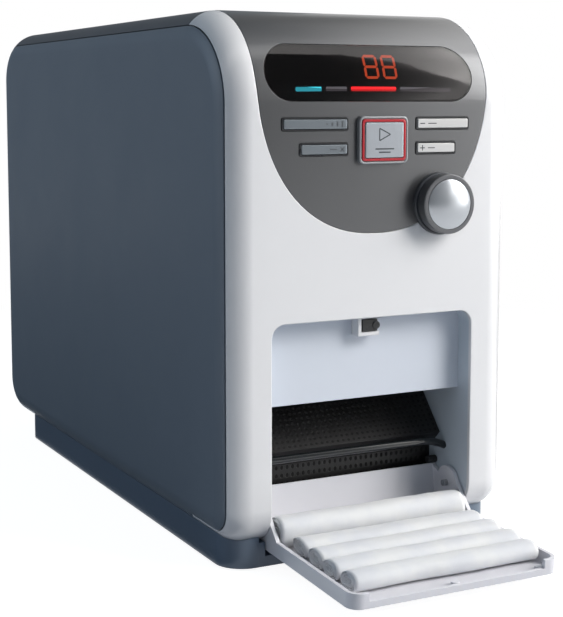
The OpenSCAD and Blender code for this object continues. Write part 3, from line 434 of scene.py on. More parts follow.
def wall_line(inset):
    """The plinth's outline seen from above, open at the mouth, some way inside its outer face."""
    half, r = plinth_half_w - plinth_r, plinth_r - inset
    line = [(-mouth_side, plinth_start + inset)]
    for x, y, start in ((-half, plinth_start + plinth_r, 270), (-half, plinth_end - plinth_r, 180),
                        (half, plinth_end - plinth_r, 90), (half, plinth_start + plinth_r, 0)):
        line += arc(x, y, r, start, start - 90, 12)
    return line + [(mouth_side, plinth_start + inset)]


plinth_paint = plastic("plinth_plastic_grained", "#5d6b7c", "#586575", (0.34, 0.42), 0.5, 0.015)
foot_rubber = plastic("foot_rubber_matt", "#2b2c2e", "#202124", (0.7, 0.85), 0.5, 0.05)
eased("base_plinth", plinth_paint, "housing", 0.5)
wall_foot, wall_play = 1.5, 0.15
upstand = bmesh.new()
ribs = []
for (x, y), (x_in, y_in) in zip(wall_line(0), wall_line(plinth_t)):
    rib = ((x, y, wall_foot), (x, y, belly(x, y) - wall_play),
           (x_in, y_in, belly(x_in, y_in) - wall_play), (x_in, y_in, wall_foot))
    ribs.append([upstand.verts.new(spot(*place)) for place in rib])
for first, second in zip(ribs, ribs[1:]):
    for k in range(4):
        upstand.faces.new((first[k], second[k], second[(k + 1) % 4], first[(k + 1) % 4]))
upstand.faces.new(ribs[0])
upstand.faces.new(ribs[-1])
ops.recalc_face_normals(upstand, faces=upstand.faces)
round_arrises(upstand, 0.5)
finish(upstand, "plinth_outer_wall", plinth_paint, "housing")
eased("rubber_feet", foot_rubber, "housing", 0.4)

# Front cover
# One glossy white shell, moulded in plastic: an arch round the mouth that runs up both sides of the shield,
# rolls back over the top and round the sides, and turns under the bottom.
around = sum(runs) + sum(turns) * pi / 2
wall = 2.5
front_depth = 57.0
band_x = 96.6
case_w = 200.0
case_top = 336.5
crown = 8.5
lift = 2.4
corner_rows = 30


def outline_point(s):
    """Point (y, z) and outward direction of the casing seen from the side, s mm up its front."""
    way = (s - rise) % around
    at = Vector((0.0, rise))
    heading = Vector((0.0, 1.0))
    for run, turn in zip(runs, turns):
        inward = Vector((heading.y, -heading.x))
        if way <= run:
            return at + heading * way, -inward
        centre = at + heading * run + inward * turn
        way -= run
        if way <= turn * pi / 2:
            a = way / turn
            outward = heading * sin(a) - inward * cos(a)
            return centre + outward * turn, outward
        way -= turn * pi / 2
        at = centre + heading * turn
        heading = inward
    return at, -inward


def on_casing(u, s, depth=0.0):
    """A place in metres on the casing: u mm across, s mm up its front, depth mm under its skin.
    The top falls by the crown towards both sides."""
    point, outward = outline_point(s)
    across = abs(u)
    if across > half_flat:
        a = min((across - half_flat) / edge_r, pi / 2)
        across = half_flat + (edge_r - depth) * sin(a)
        depth = edge_r - (edge_r - depth) * cos(a)
    at = point - outward * depth
    above = max(at.y - rise - runs[0], 0) / turns[0]
    fall = (crown * (1 - cos(pi * across / case_w)) - lift) * above
    return spot(copysign(across, u), at.x, at.y - fall)


def rolled(x):
    """Distance over the rolled edge to a place x mm across."""
    return half_flat + edge_r * asin((x - half_flat) / edge_r)


def up_front(z):
    """Distance up the front's outline to a height z."""
    bend = rise + runs[0]
    return z if z < bend else bend + turns[0] * asin(min((z - bend) / turns[0], 1))


def rows_round(run_rows, last):
    """Distances round the casing for rows on its flat runs and short rows in its corners."""
    places = []
    at = rise
    for run, turn in zip(runs, turns):
        places += [at + run * k / run_rows for k in range(run_rows)]
        at += run
        places += [at + turn * pi / 2 * k / corner_rows for k in range(corner_rows + last)]
        at += turn * pi / 2
    return places


def blank(outlines, near, far, rounding=0.4, back_rounding=0.0):
    """A plate in (u, s, depth) between two depths; the first outline is its rim, the others its holes."""
    shape = bmesh.new()
    for outline in outlines:
        corners = [shape.verts.new((u, s, near)) for u, s in outline]
        for first, second in zip(corners, corners[1:] + corners[:1]):
            shape.edges.new((first, second))
    ops.triangle_fill(shape, use_beauty=True, use_dissolve=False, edges=shape.edges[:])
    ops.dissolve_limit(shape, angle_limit=0.001, verts=[], edges=shape.edges[:])
    grown = ops.extrude_face_region(shape, geom=shape.faces[:])["geom"]
    ops.translate(shape, verts=[g for g in grown if isinstance(g, bmesh.types.BMVert)],
                  vec=(0, 0, far - near))
    ops.recalc_face_normals(shape, faces=shape.faces)
    for level, width in ((near, rounding), (far, back_rounding)):
        if not width:
            continue
        rim = [e for e in shape.edges if all(abs(v.co.z - level) < 1e-4 for v in e.verts)
               and e.calc_face_angle() > 1]
        bevel(shape, rim, width, 3)
    return shape


def wrap(shape):
    """Cuts a plate into rows and columns where the casing bends, then lays it on the casing."""
    spans = [[min(v.co[k] for v in shape.verts), max(v.co[k] for v in shape.verts)] for k in (0, 1)]
    cuts = [(1, s + turn * around) for s in rows_round(0, 1) for turn in (-1, 0)]
    columns = [half_flat + edge_r * radians(5 * k) for k in range(19)]
    cuts += [(0, sign * u) for u in columns for sign in (-1, 1)]
    for axis, place in cuts:
        if spans[axis][0] + 0.05 < place < spans[axis][1] - 0.05:
            at, across = [0, 0, 0], [0, 0, 0]
            at[axis], across[axis] = place, 1
            ops.bisect_plane(shape, geom=shape.verts[:] + shape.edges[:] + shape.faces[:],
                             plane_co=at, plane_no=across, dist=0.002)
    split_large(shape)
    for vert in shape.verts:
        vert.co = on_casing(*vert.co)
    return shape


shield_half_w = 79.5
shield_z = 300.0
shield_drop = 100.0
shield_power = 2 / 2.25
seam = 0.4
seam_s = up_front(case_top - turns[0] + sqrt(turns[0] ** 2 - (turns[0] - front_depth) ** 2))
under_s = rise - turns[3] * pi / 2 - (front_depth - turns[3])


def shield_edge(gap, steps=72):
    """The shield's edge from its left end at the seam down round its foot and up to the right."""
    points = [(-shield_half_w - gap, seam_s)]
    for k in range(steps + 1):
        a = pi * (1 - k / steps)
        x = copysign((shield_half_w + gap) * abs(cos(a)) ** shield_power, cos(a))
        points.append((x, up_front(shield_z - (shield_drop + gap) * sin(a) ** shield_power)))
    return points + [(shield_half_w + gap, seam_s)]


mouth_half_w = 70.0
mouth_top = 148.5
mouth_r = 8.5
side_u = rolled(band_x)
arch = [(-side_u, under_s), (-mouth_half_w, under_s)]
arch += arc(-mouth_half_w + mouth_r, mouth_top - mouth_r, mouth_r, 180, 90)
arch += arc(mouth_half_w - mouth_r, mouth_top - mouth_r, mouth_r, 90, 0)
arch += [(mouth_half_w, under_s), (side_u, under_s), (side_u, seam_s)]
arch += shield_edge(seam / 2)[::-1] + [(-side_u, seam_s)]
cover_white = plastic("white_cover_glossy", "#e5e4e5", "#e2e1e2", (0.25, 0.25), 0.4, 0.0,
                      Coat_Weight=0.25, Coat_Roughness=0.12)
finish(wrap(blank([arch], 0, wall, 0.6)), "front_cover_shell", cover_white, "housing", ["front_cover"])

# Side panels
# Two slate-grey mouldings, flat with a rolled edge all round, close the casing at the left and the right.
# Four bosses inside each of them reach to the side frames.
panel_x = 97.0
panel_t = 3.0
slate = plastic("slate_panel_satin", "#6d7782", "#69737f", (0.4, 0.46), 0.4, 0.012)
bosses = [(44, 50), (100, 190), (300, 50), (400, 110)]
boss_r, boss_play = 4, 0.3
frame_outer = 78.0


def peg(shape, centre, axis, radius, length, segments=24):
    """Adds a round peg about a centre in millimetres. Turned about X it runs back, about Y sideways."""
    turned = Matrix.Translation(spot(*centre)) @ Matrix.Rotation(pi / 2, 4, axis)
    ops.create_cone(shape, cap_ends=True, segments=segments, radius1=radius * mm, radius2=radius * mm,
                    depth=length * mm, matrix=turned)


def side_panel(side, name):
    """A closed skin that starts behind the seam, rolls over the edge and is flat in the middle."""
    shape = bmesh.new()
    start = rolled(panel_x)
    flat_u = half_flat + edge_r * pi / 2
    skin = [(start, panel_t), (start, 1.5), (start, 0.5), (start + 0.13, 0.15), (start + 0.5, 0.0)]
    skin += [(start + 0.5 + (flat_u - start - 0.5) * k / 8, 0.0) for k in range(1, 9)]
    rows = []
    for u, depth in skin:
        ring = [shape.verts.new(on_casing(side * u, s, depth)) for s in rows_round(6, 0)]
        rows.append([shape.edges.new((a, b)) for a, b in zip(ring, ring[1:] + ring[:1])])
    for first, second in zip(rows, rows[1:]):
        ops.bridge_loops(shape, edges=first + second)
    ops.contextual_create(shape, geom=rows[-1])
    ops.contextual_create(shape, geom=rows[0])
    boss_start = frame_outer + boss_play
    for y, z in bosses:
        peg(shape, (side * (boss_start + panel_x) / 2, y, z), "Y", boss_r, panel_x - boss_start, 32)
    finish(shape, name + "_moulded", slate, "housing", [name])


side_panel(-1, "left_side_panel")
side_panel(1, "right_side_panel")

# Control panel
# A gunmetal shield, painted in satin, is let into the front cover and runs back over the top corner.
gunmetal = plastic("gunmetal_satin", "#6f7072", "#6b6c6e", (0.28, 0.29), 0.4, 0.004,
                   Metallic=0.85, Coat_Weight=0.1, Coat_Roughness=0.2)
window_half_w = 71.5
window_h = 34.0
window_x, window_z = -2.0, 295.3
start_x, start_z = 3.4, 255.5
start_w, start_h = 34.0, 28.5
button_h = 8.0
small_buttons = {
    "mode": (-41.8, 265.2, 44.6),
    "cancel": (-36.0, 250.4, 33.0),
    "minus": (46.6, 265.2, 38.8),
    "plus": (41.8, 250.4, 29.2),
}


def rounded(x, z, w, h, r, steps=6, along=up_front):
    """A rounded rectangle on the casing, its heights laid along the casing's outline."""
    points = []
    for sx, sz, start in ((1, 1, 0), (-1, 1, 90), (-1, -1, 180), (1, -1, 270)):
        points += arc(x + sx * (w / 2 - r), z + sz * (h / 2 - r), r, start, start + 90, steps)
    return [(u, along(height)) for u, height in points]


def window_outline(grow):
    return rounded(window_x, window_z, 2 * (window_half_w + grow), window_h + 2 * grow,
                   window_h / 2 + grow - 0.01, 16)


def start_outline(less, r):
    return rounded(start_x, start_z, start_w - less, start_h - less, r)


holes = [window_outline(0.1)]
holes += [rounded(x, z, w + 0.2, button_h + 0.2, 1.5) for x, z, w in small_buttons.values()]
holes.append(start_outline(1.5, 2))
panel = wrap(blank([shield_edge(-0.05)] + holes, 0, wall, 0.5))
peg_y, peg_r, peg_l = 7.2, 2.5, 9.5
for x, z in ((-57, 236), (-69, 274), (69, 274)):
    peg(panel, (x, peg_y, z), "X", peg_r, peg_l)
finish(panel, "control_panel_shield", gunmetal, "housing", ["control_panel"])

# Display
# A smoked window, flush with the panel, covers two glowing digits and four small status bars.
smoke, given, ends, places = node_group(
    "smoked_tone", {"Colour": (0.1, 0.1, 0.1, 1)}, ("Colour", "Roughness"))
haze = noise_at(smoke, 30, 2, places)
give(smoke, ends, Roughness=spread(smoke, haze, 0.02, 0.05),
     Colour=mix_colour(smoke, spread(smoke, haze, 0, 0.3), given["Colour"], (0.12, 0.1, 0.11, 1)))
window_glass = material("smoked_window_clear", smoke, {"Colour": (0.2, 0.17, 0.18, 1)},
                        Transmission_Weight=1.0, IOR=1.49)
window_t = 2.0
finish(wrap(blank([window_outline(-0.1)], 0, window_t, 0.35)), "display_window_pane", window_glass,
       "housing", ["display_window"])

digit_z, digit_x, digit_h, digit_w, digit_pitch = 298.7, 5.3, 14.2, 9.8, 12.6
bar, bar_gap = 1.45, 0.35
led_depth = window_t + 0.1
led_t = 0.3


def lit(name, colour, strength):
    return glowing(name, (0.02, 0.01, 0.01, 1), 0.6, tint(colour), strength)[0]


def segment_outline(x, z, length, upright):
    """A display segment with pointed ends, as long as its cell allows."""
    half, thick = length / 2, bar / 2
    points = [(-half, 0), (-half + thick, -thick), (half - thick, -thick), (half, 0),
              (half - thick, thick), (-half + thick, thick)]
    if upright:
        points = [(-b, a) for a, b in points]
    return [(x + a, up_front(z + b)) for a, b in points]


def join(shape, other):
    """Moves one bmesh's parts into another."""
    mesh = bpy.data.meshes.new("joined")
    other.to_mesh(mesh)
    other.free()
    shape.from_mesh(mesh)
    bpy.data.meshes.remove(mesh)


digits = bmesh.new()
for centre in (digit_x - digit_pitch / 2, digit_x + digit_pitch / 2):
    w, h = digit_w - bar, (digit_h - bar) / 2
    cells = [(centre, digit_z + k * h, w - bar_gap, False) for k in (-1, 0, 1)]
    cells += [(centre + sx * w / 2, digit_z + k * h / 2, h - bar_gap, True)
              for sx in (-1, 1) for k in (-1, 1)]
    for cell in cells:
        join(digits, wrap(blank([segment_outline(*cell)], led_depth, led_depth + led_t, 0)))
finish(digits, "digit_segments_lit", lit("led_orange_lit", "#e4552a", 1.3), "housing", ["display_leds"],
       even=False)
lamp_z, lamp_h, lamp_r = 285.7, 2.6, 0.6
for name, x, w, colour, strength in (("cold", -45, 17, "#3fd0e0", 3), ("heat", -26.5, 14, "#6a6c70", 1.6),
                                     ("water", -1, 31, "#f02226", 3.4), ("empty", 35.5, 36, "#6a6c70", 1.6)):
    status = wrap(blank([rounded(x, lamp_z, w, lamp_h, lamp_r)], led_depth, led_depth + led_t, 0))
    finish(status, "status_bar_" + name, lit("status_light_" + name, colour, strength), "housing",
           even=False)

carrier_black = plastic("carrier_black_matt", "#17181a", "#121315", (0.5, 0.6), 0.4, 0.02)
finish(wrap(blank([window_outline(2)], wall + 0.1, wall + 4.1, 0.3)), "display_carrier_tray",
       carrier_black, "housing", ["display_carrier"])
board_green = plastic("circuit_board_green", "#2c6a47", "#235639", (0.35, 0.5), 0.8, 0.03)
repaint(board_green, "control_board")

# Start button
# A raised frame holds a red ring and, inside it, the square silver key that slides in and out.
bezel_grey = plastic("bezel_grey_satin", "#8d8f92", "#85878b", (0.25, 0.35), 0.4, 0.01, Metallic=0.3)
ring_red = plastic("ring_red_gloss", "#b3202c", "#9c1823", (0.2, 0.3), 0.4, 0.005, Coat_Weight=0.3)
key_silver = plastic("key_silver_paint", "#acb1b7", "#a8adb3", (0.27, 0.27), 0.4, 0.0, Metallic=0.5)
key_dark = plastic("key_dark_silver_paint", "#82898f", "#7e858b", (0.27, 0.27), 0.4, 0.0, Metallic=0.6)
key_white = plastic("key_white_paint", "#cac9c8", "#c7c6c5", (0.27, 0.27), 0.4, 0.0, Metallic=0.1)
mark_ink = plastic("mark_ink_grey", "#33373c", "#2e3237", (0.5, 0.6), 0.3, 0.0)
finish(wrap(blank([start_outline(0, 3.4), start_outline(3.5, 2)], -3, wall + 1.4, 0.9)),
       "start_bezel_frame", bezel_grey, "housing", ["start_bezel"])
finish(wrap(blank([start_outline(3.7, 1.9), start_outline(7, 1.2)], -3.3, wall, 0.35)),
       "start_ring_red", ring_red, "housing", ["start_ring"])
flange_front, flange_back, stem_end = wall + 0.4, wall + 1.5, 7.0


def key(outline, flange, proud, stem_d, place, name, made, node, body):
    """A push key: its cap, the flange that keeps it behind the panel, and the stem to its switch."""
    x, z = place
    shape = wrap(blank([outline], -proud, wall + 1.6, 0.45))
    join(shape, wrap(blank([flange], flange_front, flange_back, 0)))
    peg(shape, (x, (flange_back + stem_end) / 2, z), "X", stem_d / 2, stem_end - flange_back)
    finish(shape, name, made, body, [node])


def marks(name, bars, proud, body):
    """Flat printed signs made of bars, each as (x, z, width, height, turn in degrees)."""
    shape = bmesh.new()
    for x, z, w, h, turn in bars:
        corners = [(-w / 2, -h / 2), (w / 2, -h / 2), (w / 2, h / 2), (-w / 2, h / 2)]
        one = blank([corners], -proud - 0.04, -proud + 0.1, 0)
        ops.rotate(one, verts=one.verts, matrix=Matrix.Rotation(radians(turn), 3, "Z"))
        ops.translate(one, verts=one.verts, vec=(x, z, 0))
        join(shape, wrap(one))
    finish(shape, name, mark_ink, body, even=False)


start_proud = 3.8
key(start_outline(7.6, 1), start_outline(2.2, 2), start_proud, 5, (start_x, start_z), "start_key", key_silver,
    "start_button", "start")
start_signs = [(start_x - 3.6, start_z + 3.4, 0.7, 7.4, 0), (start_x + 0.2, start_z + 5.2, 8.2, 0.7, -26),
               (start_x + 0.2, start_z + 1.6, 8.2, 0.7, 26), (start_x, start_z - 5.2, 13, 0.8, 0),
               (start_x, start_z - 7.2, 8, 0.8, 0)]
marks("start_sign", start_signs, start_proud, "start")

# Small buttons
# Four flat silver keys lie in thin black frames, two to the left of the start button and two to its right.
frame_black = plastic("frame_black_gloss", "#202226", "#191b1e", (0.25, 0.35), 0.4, 0.005)
rims = bmesh.new()
for x, z, w in small_buttons.values():
    join(rims, wrap(blank([rounded(x, z, w, button_h, 1.4),
                           rounded(x, z, w - 2, button_h - 2, 0.9)], -0.45, wall, 0.25)))
finish(rims, "button_frames", frame_black, "housing", ["button_bezels"])
key_faces = {"mode": (key_dark, "button_silver"), "cancel": (key_dark, "button_silver"),
             "minus": (key_white, "button_white"), "plus": (key_white, "button_white")}
sign_inset = 4.6
for name, (x, z, w) in small_buttons.items():
    made, slot = key_faces[name]
    key(rounded(x, z, w - 2.5, button_h - 2.5, 0.8), rounded(x, z, w, button_h, 1.4), 1.0, 4,
        (x, z), name + "_key", made, name + "_button", name)
    right = x + w / 2 - sign_inset
    left = x - w / 2 + sign_inset
    signs = {
        "mode": [(right - 3.4 * k, z, 1.1, 0.9 + 0.9 * (3 - k), 0) for k in range(4)],
        "cancel": [(right, z, 4.0, 0.55, 45), (right, z, 4.0, 0.55, -45), (right - 6, z, 5, 0.55, 0)],
        "minus": [(left, z, 3.4, 0.6, 0), (left + 7, z, 6, 0.55, 0)],
        "plus": [(left, z, 3.4, 0.6, 0), (left, z, 0.6, 3.4, 0), (left + 6.4, z, 5, 0.55, 0)],
    }
    marks(name + "_sign", signs[name], 1.0, name)

# Knob
# A turned grey ring with a domed silver cap stands on a low dark base; it turns on the encoder's shaft.
knob_x, knob_z = 45.4, 216.3
knob_r, cap_r = 18.25, 15.15


def spun(line, centre, axis, closed=False, steps=96):
    """Spins a line of places in metres about an axis through a centre."""
    shape = bmesh.new()
    corners = [shape.verts.new(place) for place in line]
    others = corners[1:] + corners[:1] if closed else corners[1:]
    edges = [shape.edges.new(pair) for pair in zip(corners, others)]
    ops.spin(shape, geom=corners + edges, cent=centre, axis=axis, angle=tau, steps=steps,
             use_merge=True)
    ops.remove_doubles(shape, verts=shape.verts, dist=1e-6)
    return shape


def turned_part(profile, name, made, body, node):
    """A part of the knob from half its section, given as (radius, depth) from axis to axis."""
    line = [spot(knob_x + r, y, knob_z) for r, y in profile]
    finish(spun(line, spot(knob_x, 0, knob_z), (0, 1, 0)), name, made, body, [node])


knob_dark = plastic("knob_base_dark", "#43464b", "#3a3d42", (0.3, 0.4), 0.4, 0.01)
knob_grey = plastic("knob_grey_satin", "#626366", "#5e5f62", (0.3, 0.31), 0.4, 0.002, Metallic=0.4)
knob_silver = plastic("knob_silver_spun", "#b3b7bc", "#afb3b8", (0.24, 0.24), 0.3, 0.0, Metallic=0.6)
turned_part([(0, 0.0), (19.25, 0.0)] + arc(18.6, -1.9, 0.6, 0, -90, 4) + [(0, -2.5)],
            "knob_base_plate", knob_dark, "housing", "knob_base")
rim_y = -11.0
turned_part([(0, -2.8), (17.6, -2.8), (18.05, -4.2)] + arc(knob_r - 0.7, rim_y + 0.7, 0.7, 0, -90, 4)
            + arc(cap_r + 0.55, rim_y + 0.25, 0.25, -90, -180, 4)
            + [(cap_r + 0.25, rim_y + 2.5), (0, rim_y + 2.5)],
            "knob_ring_turned", knob_grey, "knob", "knob_ring")
dome_h, dome_steps = 2.8, 14
dome = [(cap_r * sin(k / dome_steps) / sin(1.0),
         rim_y - dome_h * (cos(k / dome_steps) - cos(1.0)) / (1 - cos(1.0)))
        for k in range(dome_steps, -1, -1)]
turned_part([(0, rim_y + 2.2), (cap_r - 0.1, rim_y + 2.2), (cap_r, rim_y + 1.8), (cap_r, rim_y + 0.3)] + dome,
            "knob_cap_dome", knob_silver, "knob", "knob_cap")

# Top lid
# The grey lid covers the machine from the front cover over the back corner and swings up on two rear hinges.
# It is moulded in plastic, and steel pins hold its knuckles.
lid_edge_z = 290.0
case_d = 447.0
knuckle_x, knuckle_drop = 63, 12


def down_back(z):
    """Distance round the casing to a height z on its flat back."""
    return rise + sum(runs[:2]) + (turns[0] + turns[1]) * pi / 2 + case_top - turns[1] - z


def add_behind(shape, node):
    """Adds what a CAD node has behind the casing's back, such as its hinge knuckles."""
    part = from_cad(node)
    ops.bisect_plane(part, geom=part.verts[:] + part.edges[:] + part.faces[:], dist=1e-6,
                     plane_co=spot(0, case_d - 0.6, 0), plane_no=(0, 1, 0), clear_inner=True)
    low = (lid_edge_z - knuckle_drop) * mm
    away = [v for v in part.verts if v.co.z < low or v.co.y < spot(0, case_d - 0.7, 0).y]
    ops.delete(part, geom=away, context="VERTS")
    skin = [f for f in part.faces if all(v.co.y < spot(0, case_d + 0.01, 0).y for v in f.verts)
            and max(abs(v.co.x) for v in f.verts) > knuckle_x * mm]
    ops.delete(part, geom=skin, context="FACES")
    ops.holes_fill(part, edges=[e for e in part.edges if e.is_boundary], sides=0)
    join(shape, part)


lid_outline = [(-side_u, seam_s + seam), (side_u, seam_s + seam), (side_u, down_back(lid_edge_z)),
               (-side_u, down_back(lid_edge_z))]
lid = wrap(blank([lid_outline], 0, wall, 0.5))
add_behind(lid, "top_lid")
lid_grey = plastic("lid_grey_satin", "#5b5e63", "#575a5f", (0.5, 0.54), 0.4, 0.006, Metallic=0.2)
finish(lid, "top_lid_moulded", lid_grey, "lid", ["top_lid"])
pin_steel = plastic("pin_steel_bright", "#b4b6b8", "#9da0a3", (0.2, 0.32), 0.7, 0.004, Metallic=0.95)
repaint(pin_steel, "hinge_pins")

# Back cover
# A white cover with cooling slots, the mains inlet's opening and the switch's opening, held by four screws.
base_rear = case_d - 67
fan_x, fan_z = -38.0, 84.0
inlet_x, inlet_z, rocker_z = 42.0, 73.5, 107.5
around_bottom = down_back(46.5) + turns[2] * pi / 2 + case_d - turns[2]


def back_opening(x, z, w, h, r):
    return rounded(x, z, w, h, r, 4, down_back)


back_outline = [(-side_u, down_back(lid_edge_z - seam)), (side_u, down_back(lid_edge_z - seam)),
                (side_u, around_bottom - base_rear - seam), (-side_u, around_bottom - base_rear - seam)]
openings = [back_opening(fan_x, fan_z - 24 + 6 * k, 52, 3, 1.45) for k in range(9)]
openings += [back_opening(inlet_x, inlet_z, 28, 21, 1), back_opening(inlet_x, rocker_z, 14, 20, 1)]
openings += [back_opening(side * 78, z, 3.4, 3.4, 1.69) for side in (-1, 1) for z in (56.5, lid_edge_z - 18)]
back = wrap(blank([back_outline] + openings, 0, wall, 0.4))
add_behind(back, "back_cover")
rear_white = plastic("rear_white_satin", "#d3d5d9", "#c9ccd1", (0.35, 0.45), 0.5, 0.02)
finish(back, "back_cover_moulded", rear_white, "housing", ["back_cover"])
eased("cover_screws", pin_steel, "housing", 0.15)

# Dispensing bay
# A grey liner is set into the mouth. A pale plate closes its top, and under the plate the dark steel chute
# slopes down to the towels.
bay_grey = plastic("bay_grey_satin", "#c5ced7", "#b6c0c9", (0.35, 0.45), 0.5, 0.012)
pale = plastic("pale_plate_satin", "#d3d8e1", "#ced3dd", (0.35, 0.45), 0.5, 0.012)
eased("bay_liner", bay_grey, "housing", 0.4)
eased("inner_plate", pale, "housing", 0.4)
dotted, given, ends, places = node_group(
    "perforated_steel", {"Colour": (0.1, 0.1, 0.1, 1), "Dot": (0.01, 0.01, 0.01, 1), "Pitch": 260.0})
axes = add(dotted, "SeparateXYZ")
dotted.links.new(places, axes.inputs[0])
along = maths(dotted, "MULTIPLY", axes.outputs["X"], given["Pitch"])
down = maths(dotted, "MULTIPLY", maths(dotted, "ADD", axes.outputs["Y"], axes.outputs["Z"]),
             maths(dotted, "MULTIPLY", given["Pitch"], 0.75))
squares = []
for way in (along, down):
    in_cell = maths(dotted, "SUBTRACT", maths(dotted, "FRACT", way), 0.5)
    squares.append(maths(dotted, "POWER", maths(dotted, "ABSOLUTE", in_cell), 2.0))
from_dot = maths(dotted, "SQRT", maths(dotted, "ADD", *squares))
solid = spread(dotted, from_dot, 0, 1, 0.22, 0.3)
give(dotted, ends, Colour=mix_colour(dotted, solid, given["Dot"], given["Colour"]),
     Roughness=spread(dotted, solid, 0.8, 0.4), Height=solid)
chute_black = material("chute_black_perforated", dotted,
                       {"Colour": (0.012, 0.0115, 0.012, 1), "Dot": (0.002, 0.002, 0.002, 1)}, 0.2)
eased("chute_plate", chute_black, "housing", 0.2)

# Guide bar
# A glossy black rod crosses the bay under the chute; its right end is bent down into the liner.
bar_black = plastic("bar_black_gloss", "#1d2022", "#15181a", (0.12, 0.2), 0.3, 0.002, Coat_Weight=0.6)
bar_y, bar_z, bar_r = 28.5, 60.0, 2.5
bend_x, bend_r = 52.0, 40.0
bar_way = [(-70.2, 0)]
for k in range(10):
    a = radians(3 * k)
    bar_way.append((bend_x + bend_r * sin(a), bend_r * (cos(a) - 1)))
rod = bmesh.new()
rings = []
for k, (x, z) in enumerate(bar_way):
    before = Vector(bar_way[max(k - 1, 0)])
    after = Vector(bar_way[min(k + 1, len(bar_way) - 1)])
    lean = atan2(after.y - before.y, after.x - before.x)
    turned = Matrix.Translation(spot(x, bar_y, bar_z + z)) @ Matrix.Rotation(-lean, 4, "Y")
    turned = turned @ Matrix.Rotation(pi / 2, 4, "Y")
    ring = ops.create_circle(rod, cap_ends=k in (0, len(bar_way) - 1), segments=24, radius=bar_r * mm,
                             matrix=turned)["verts"]
    edges = {e for v in ring for e in v.link_edges}
    rings.append([e for e in edges if all(v in ring for v in e.verts)])
for first, second in zip(rings, rings[1:]):
    ops.bridge_loops(rod, edges=first + second)
finish(rod, "guide_bar_bent", bar_black, "housing", ["guide_bar"])

# Catch
# A small white bracket at the top of the mouth holds the black plunger that keeps the tray shut.
black_gloss = plastic("catch_black_gloss", "#1f2124", "#17191c", (0.2, 0.3), 0.4, 0.005)
eased("latch_bracket", cover_white, "housing", 0.35)
eased("latch_plunger", black_gloss, "latch", 0.3)

# Tray
# The pale grey tray swings down on two pins at its ears and rests on two black stops.
tray_grey = plastic("tray_grey_satin", "#dcdbe0", "#d8d7dd", (0.3, 0.38), 0.5, 0.01)
eased("tray", tray_grey, "tray_door", 0.4)
eased("tray_bumpers", foot_rubber, "housing", 0.5)

# Rolled towels
# Five damp rolls of white non-woven cloth lie side by side on the tray. The one nearest the bay is still
# round, and the others are pressed flat.
weave, given, ends, places = node_group(
    "non_woven_cloth", {"Colour": (0.9, 0.9, 0.9, 1), "Shade": (0.8, 0.8, 0.8, 1)})
fibre = noise_at(weave, 1, 3, places, (500, 1400, 1400), 0.7)
crossing = noise_at(weave, 1, 3, places, (1500, 700, 700), 0.7)
damp = noise_at(weave, 60, 3, places)
fleece = maths(weave, "ADD", maths(weave, "MULTIPLY", fibre, 0.5),
               maths(weave, "MULTIPLY", crossing, 0.5))
blotch = spread(weave, damp, 0, 1, 0.35, 0.7)
give(weave, ends, Colour=mix_colour(weave, blotch, given["Colour"], given["Shade"]),
     Roughness=spread(weave, fleece, 0.75, 0.95),
     Height=maths(weave, "ADD", fleece, maths(weave, "MULTIPLY", damp, 2.0)))
cloth_white = material("towel_cloth_white", weave, {"Colour": tint("#dfdfdf"), "Shade": tint("#d6d7db")},
                       0.12, Sheen_Weight=0.15)
tray_hinge = Matrix.Translation(spot(0, 21, 33)) @ Matrix.Rotation(radians(2.4), 4, "X")
tray_floor_z = -18.7
sheet_t = 0.6


def rolled_towel(name, shift, reach, w, h, length, turns_wound, start):
    """A sheet wound into a flattened roll across the tray, a little uneven along its length."""
    along_steps, wound_steps = 48, int(turns_wound * 36)
    shape = bmesh.new()
    ops.create_grid(shape, x_segments=along_steps, y_segments=wound_steps, size=0.5)
    heart, squareness = 0.16, 0.86
    for vert in shape.verts:
        along, wound = vert.co.x, vert.co.y + 0.5
        angle = radians(start) + tau * turns_wound * (wound - 1)
        layer = heart + (1 - heart) * wound
        side, up = (copysign(abs(part) ** squareness, part)
                    for part in (cos(angle), sin(angle)))
        slack = noise.noise(Vector((along * 4.2, angle * 0.5, start * 0.1)))
        crease = 0.3 * wound * noise.noise(Vector((along * 13, angle * 1.4, start * 0.1 + 7)))
        drift = 0.9 * noise.noise(Vector((along * 3.1, start * 0.07, 5)))
        end = max(0, abs(along) - 0.46) / 0.04
        swell = 1 + 0.04 * slack - 0.05 * end ** 2
        telescoped = 1.6 * noise.noise(Vector((angle * 0.33, start, 3.1 + (4 if along > 0 else 0))))
        telescoped -= copysign(0.9 * (1 - wound), along)
        x = shift + along * length + telescoped * abs(2 * along) ** 6
        across = (w - sheet_t) / 2 * layer * swell * side + crease * side + drift
        height = (h - sheet_t) / 2 * layer * (swell * up if up > 0 else up) + max(crease * up, 0)
        vert.co = tray_hinge @ (Vector((x, across - reach, tray_floor_z + h / 2 + height)) * mm)
    piece = finish(shape, name, cloth_white, "tray_door", ["rolled_towels"], 80,
                   even=False)
    cloth = piece.modifiers.new("cloth_thickness", "SOLIDIFY")
    cloth.thickness = sheet_t * mm
    cloth.offset = 0


rolled_towel("towel_fresh", 0, 15.5, 19.5, 19, 131, 5.2, 250)
for number, (reach, shift) in enumerate(((36, 2.6), (54.6, 3), (73.6, 2.4), (93, 2))):
    rolled_towel("towel_flat_%d" % (number + 1), shift, reach, 18.8, 11.6, 124.5 + number * 7 % 3, 4.1,
                 230 + 23 * number)

# Supply roll
# A wound roll of the same cloth on a card core. It turns on a steel spindle that drops into slots in the
# side frames.
roll_y, roll_z, roll_half = 290.0, 236.0, 65.0
roll_r, core_r, layers = 75, 21.4, 44
card_brown = plastic("core_card_brown", "#a98f6d", "#9a8161", (0.8, 0.9), 0.8, 0.1)


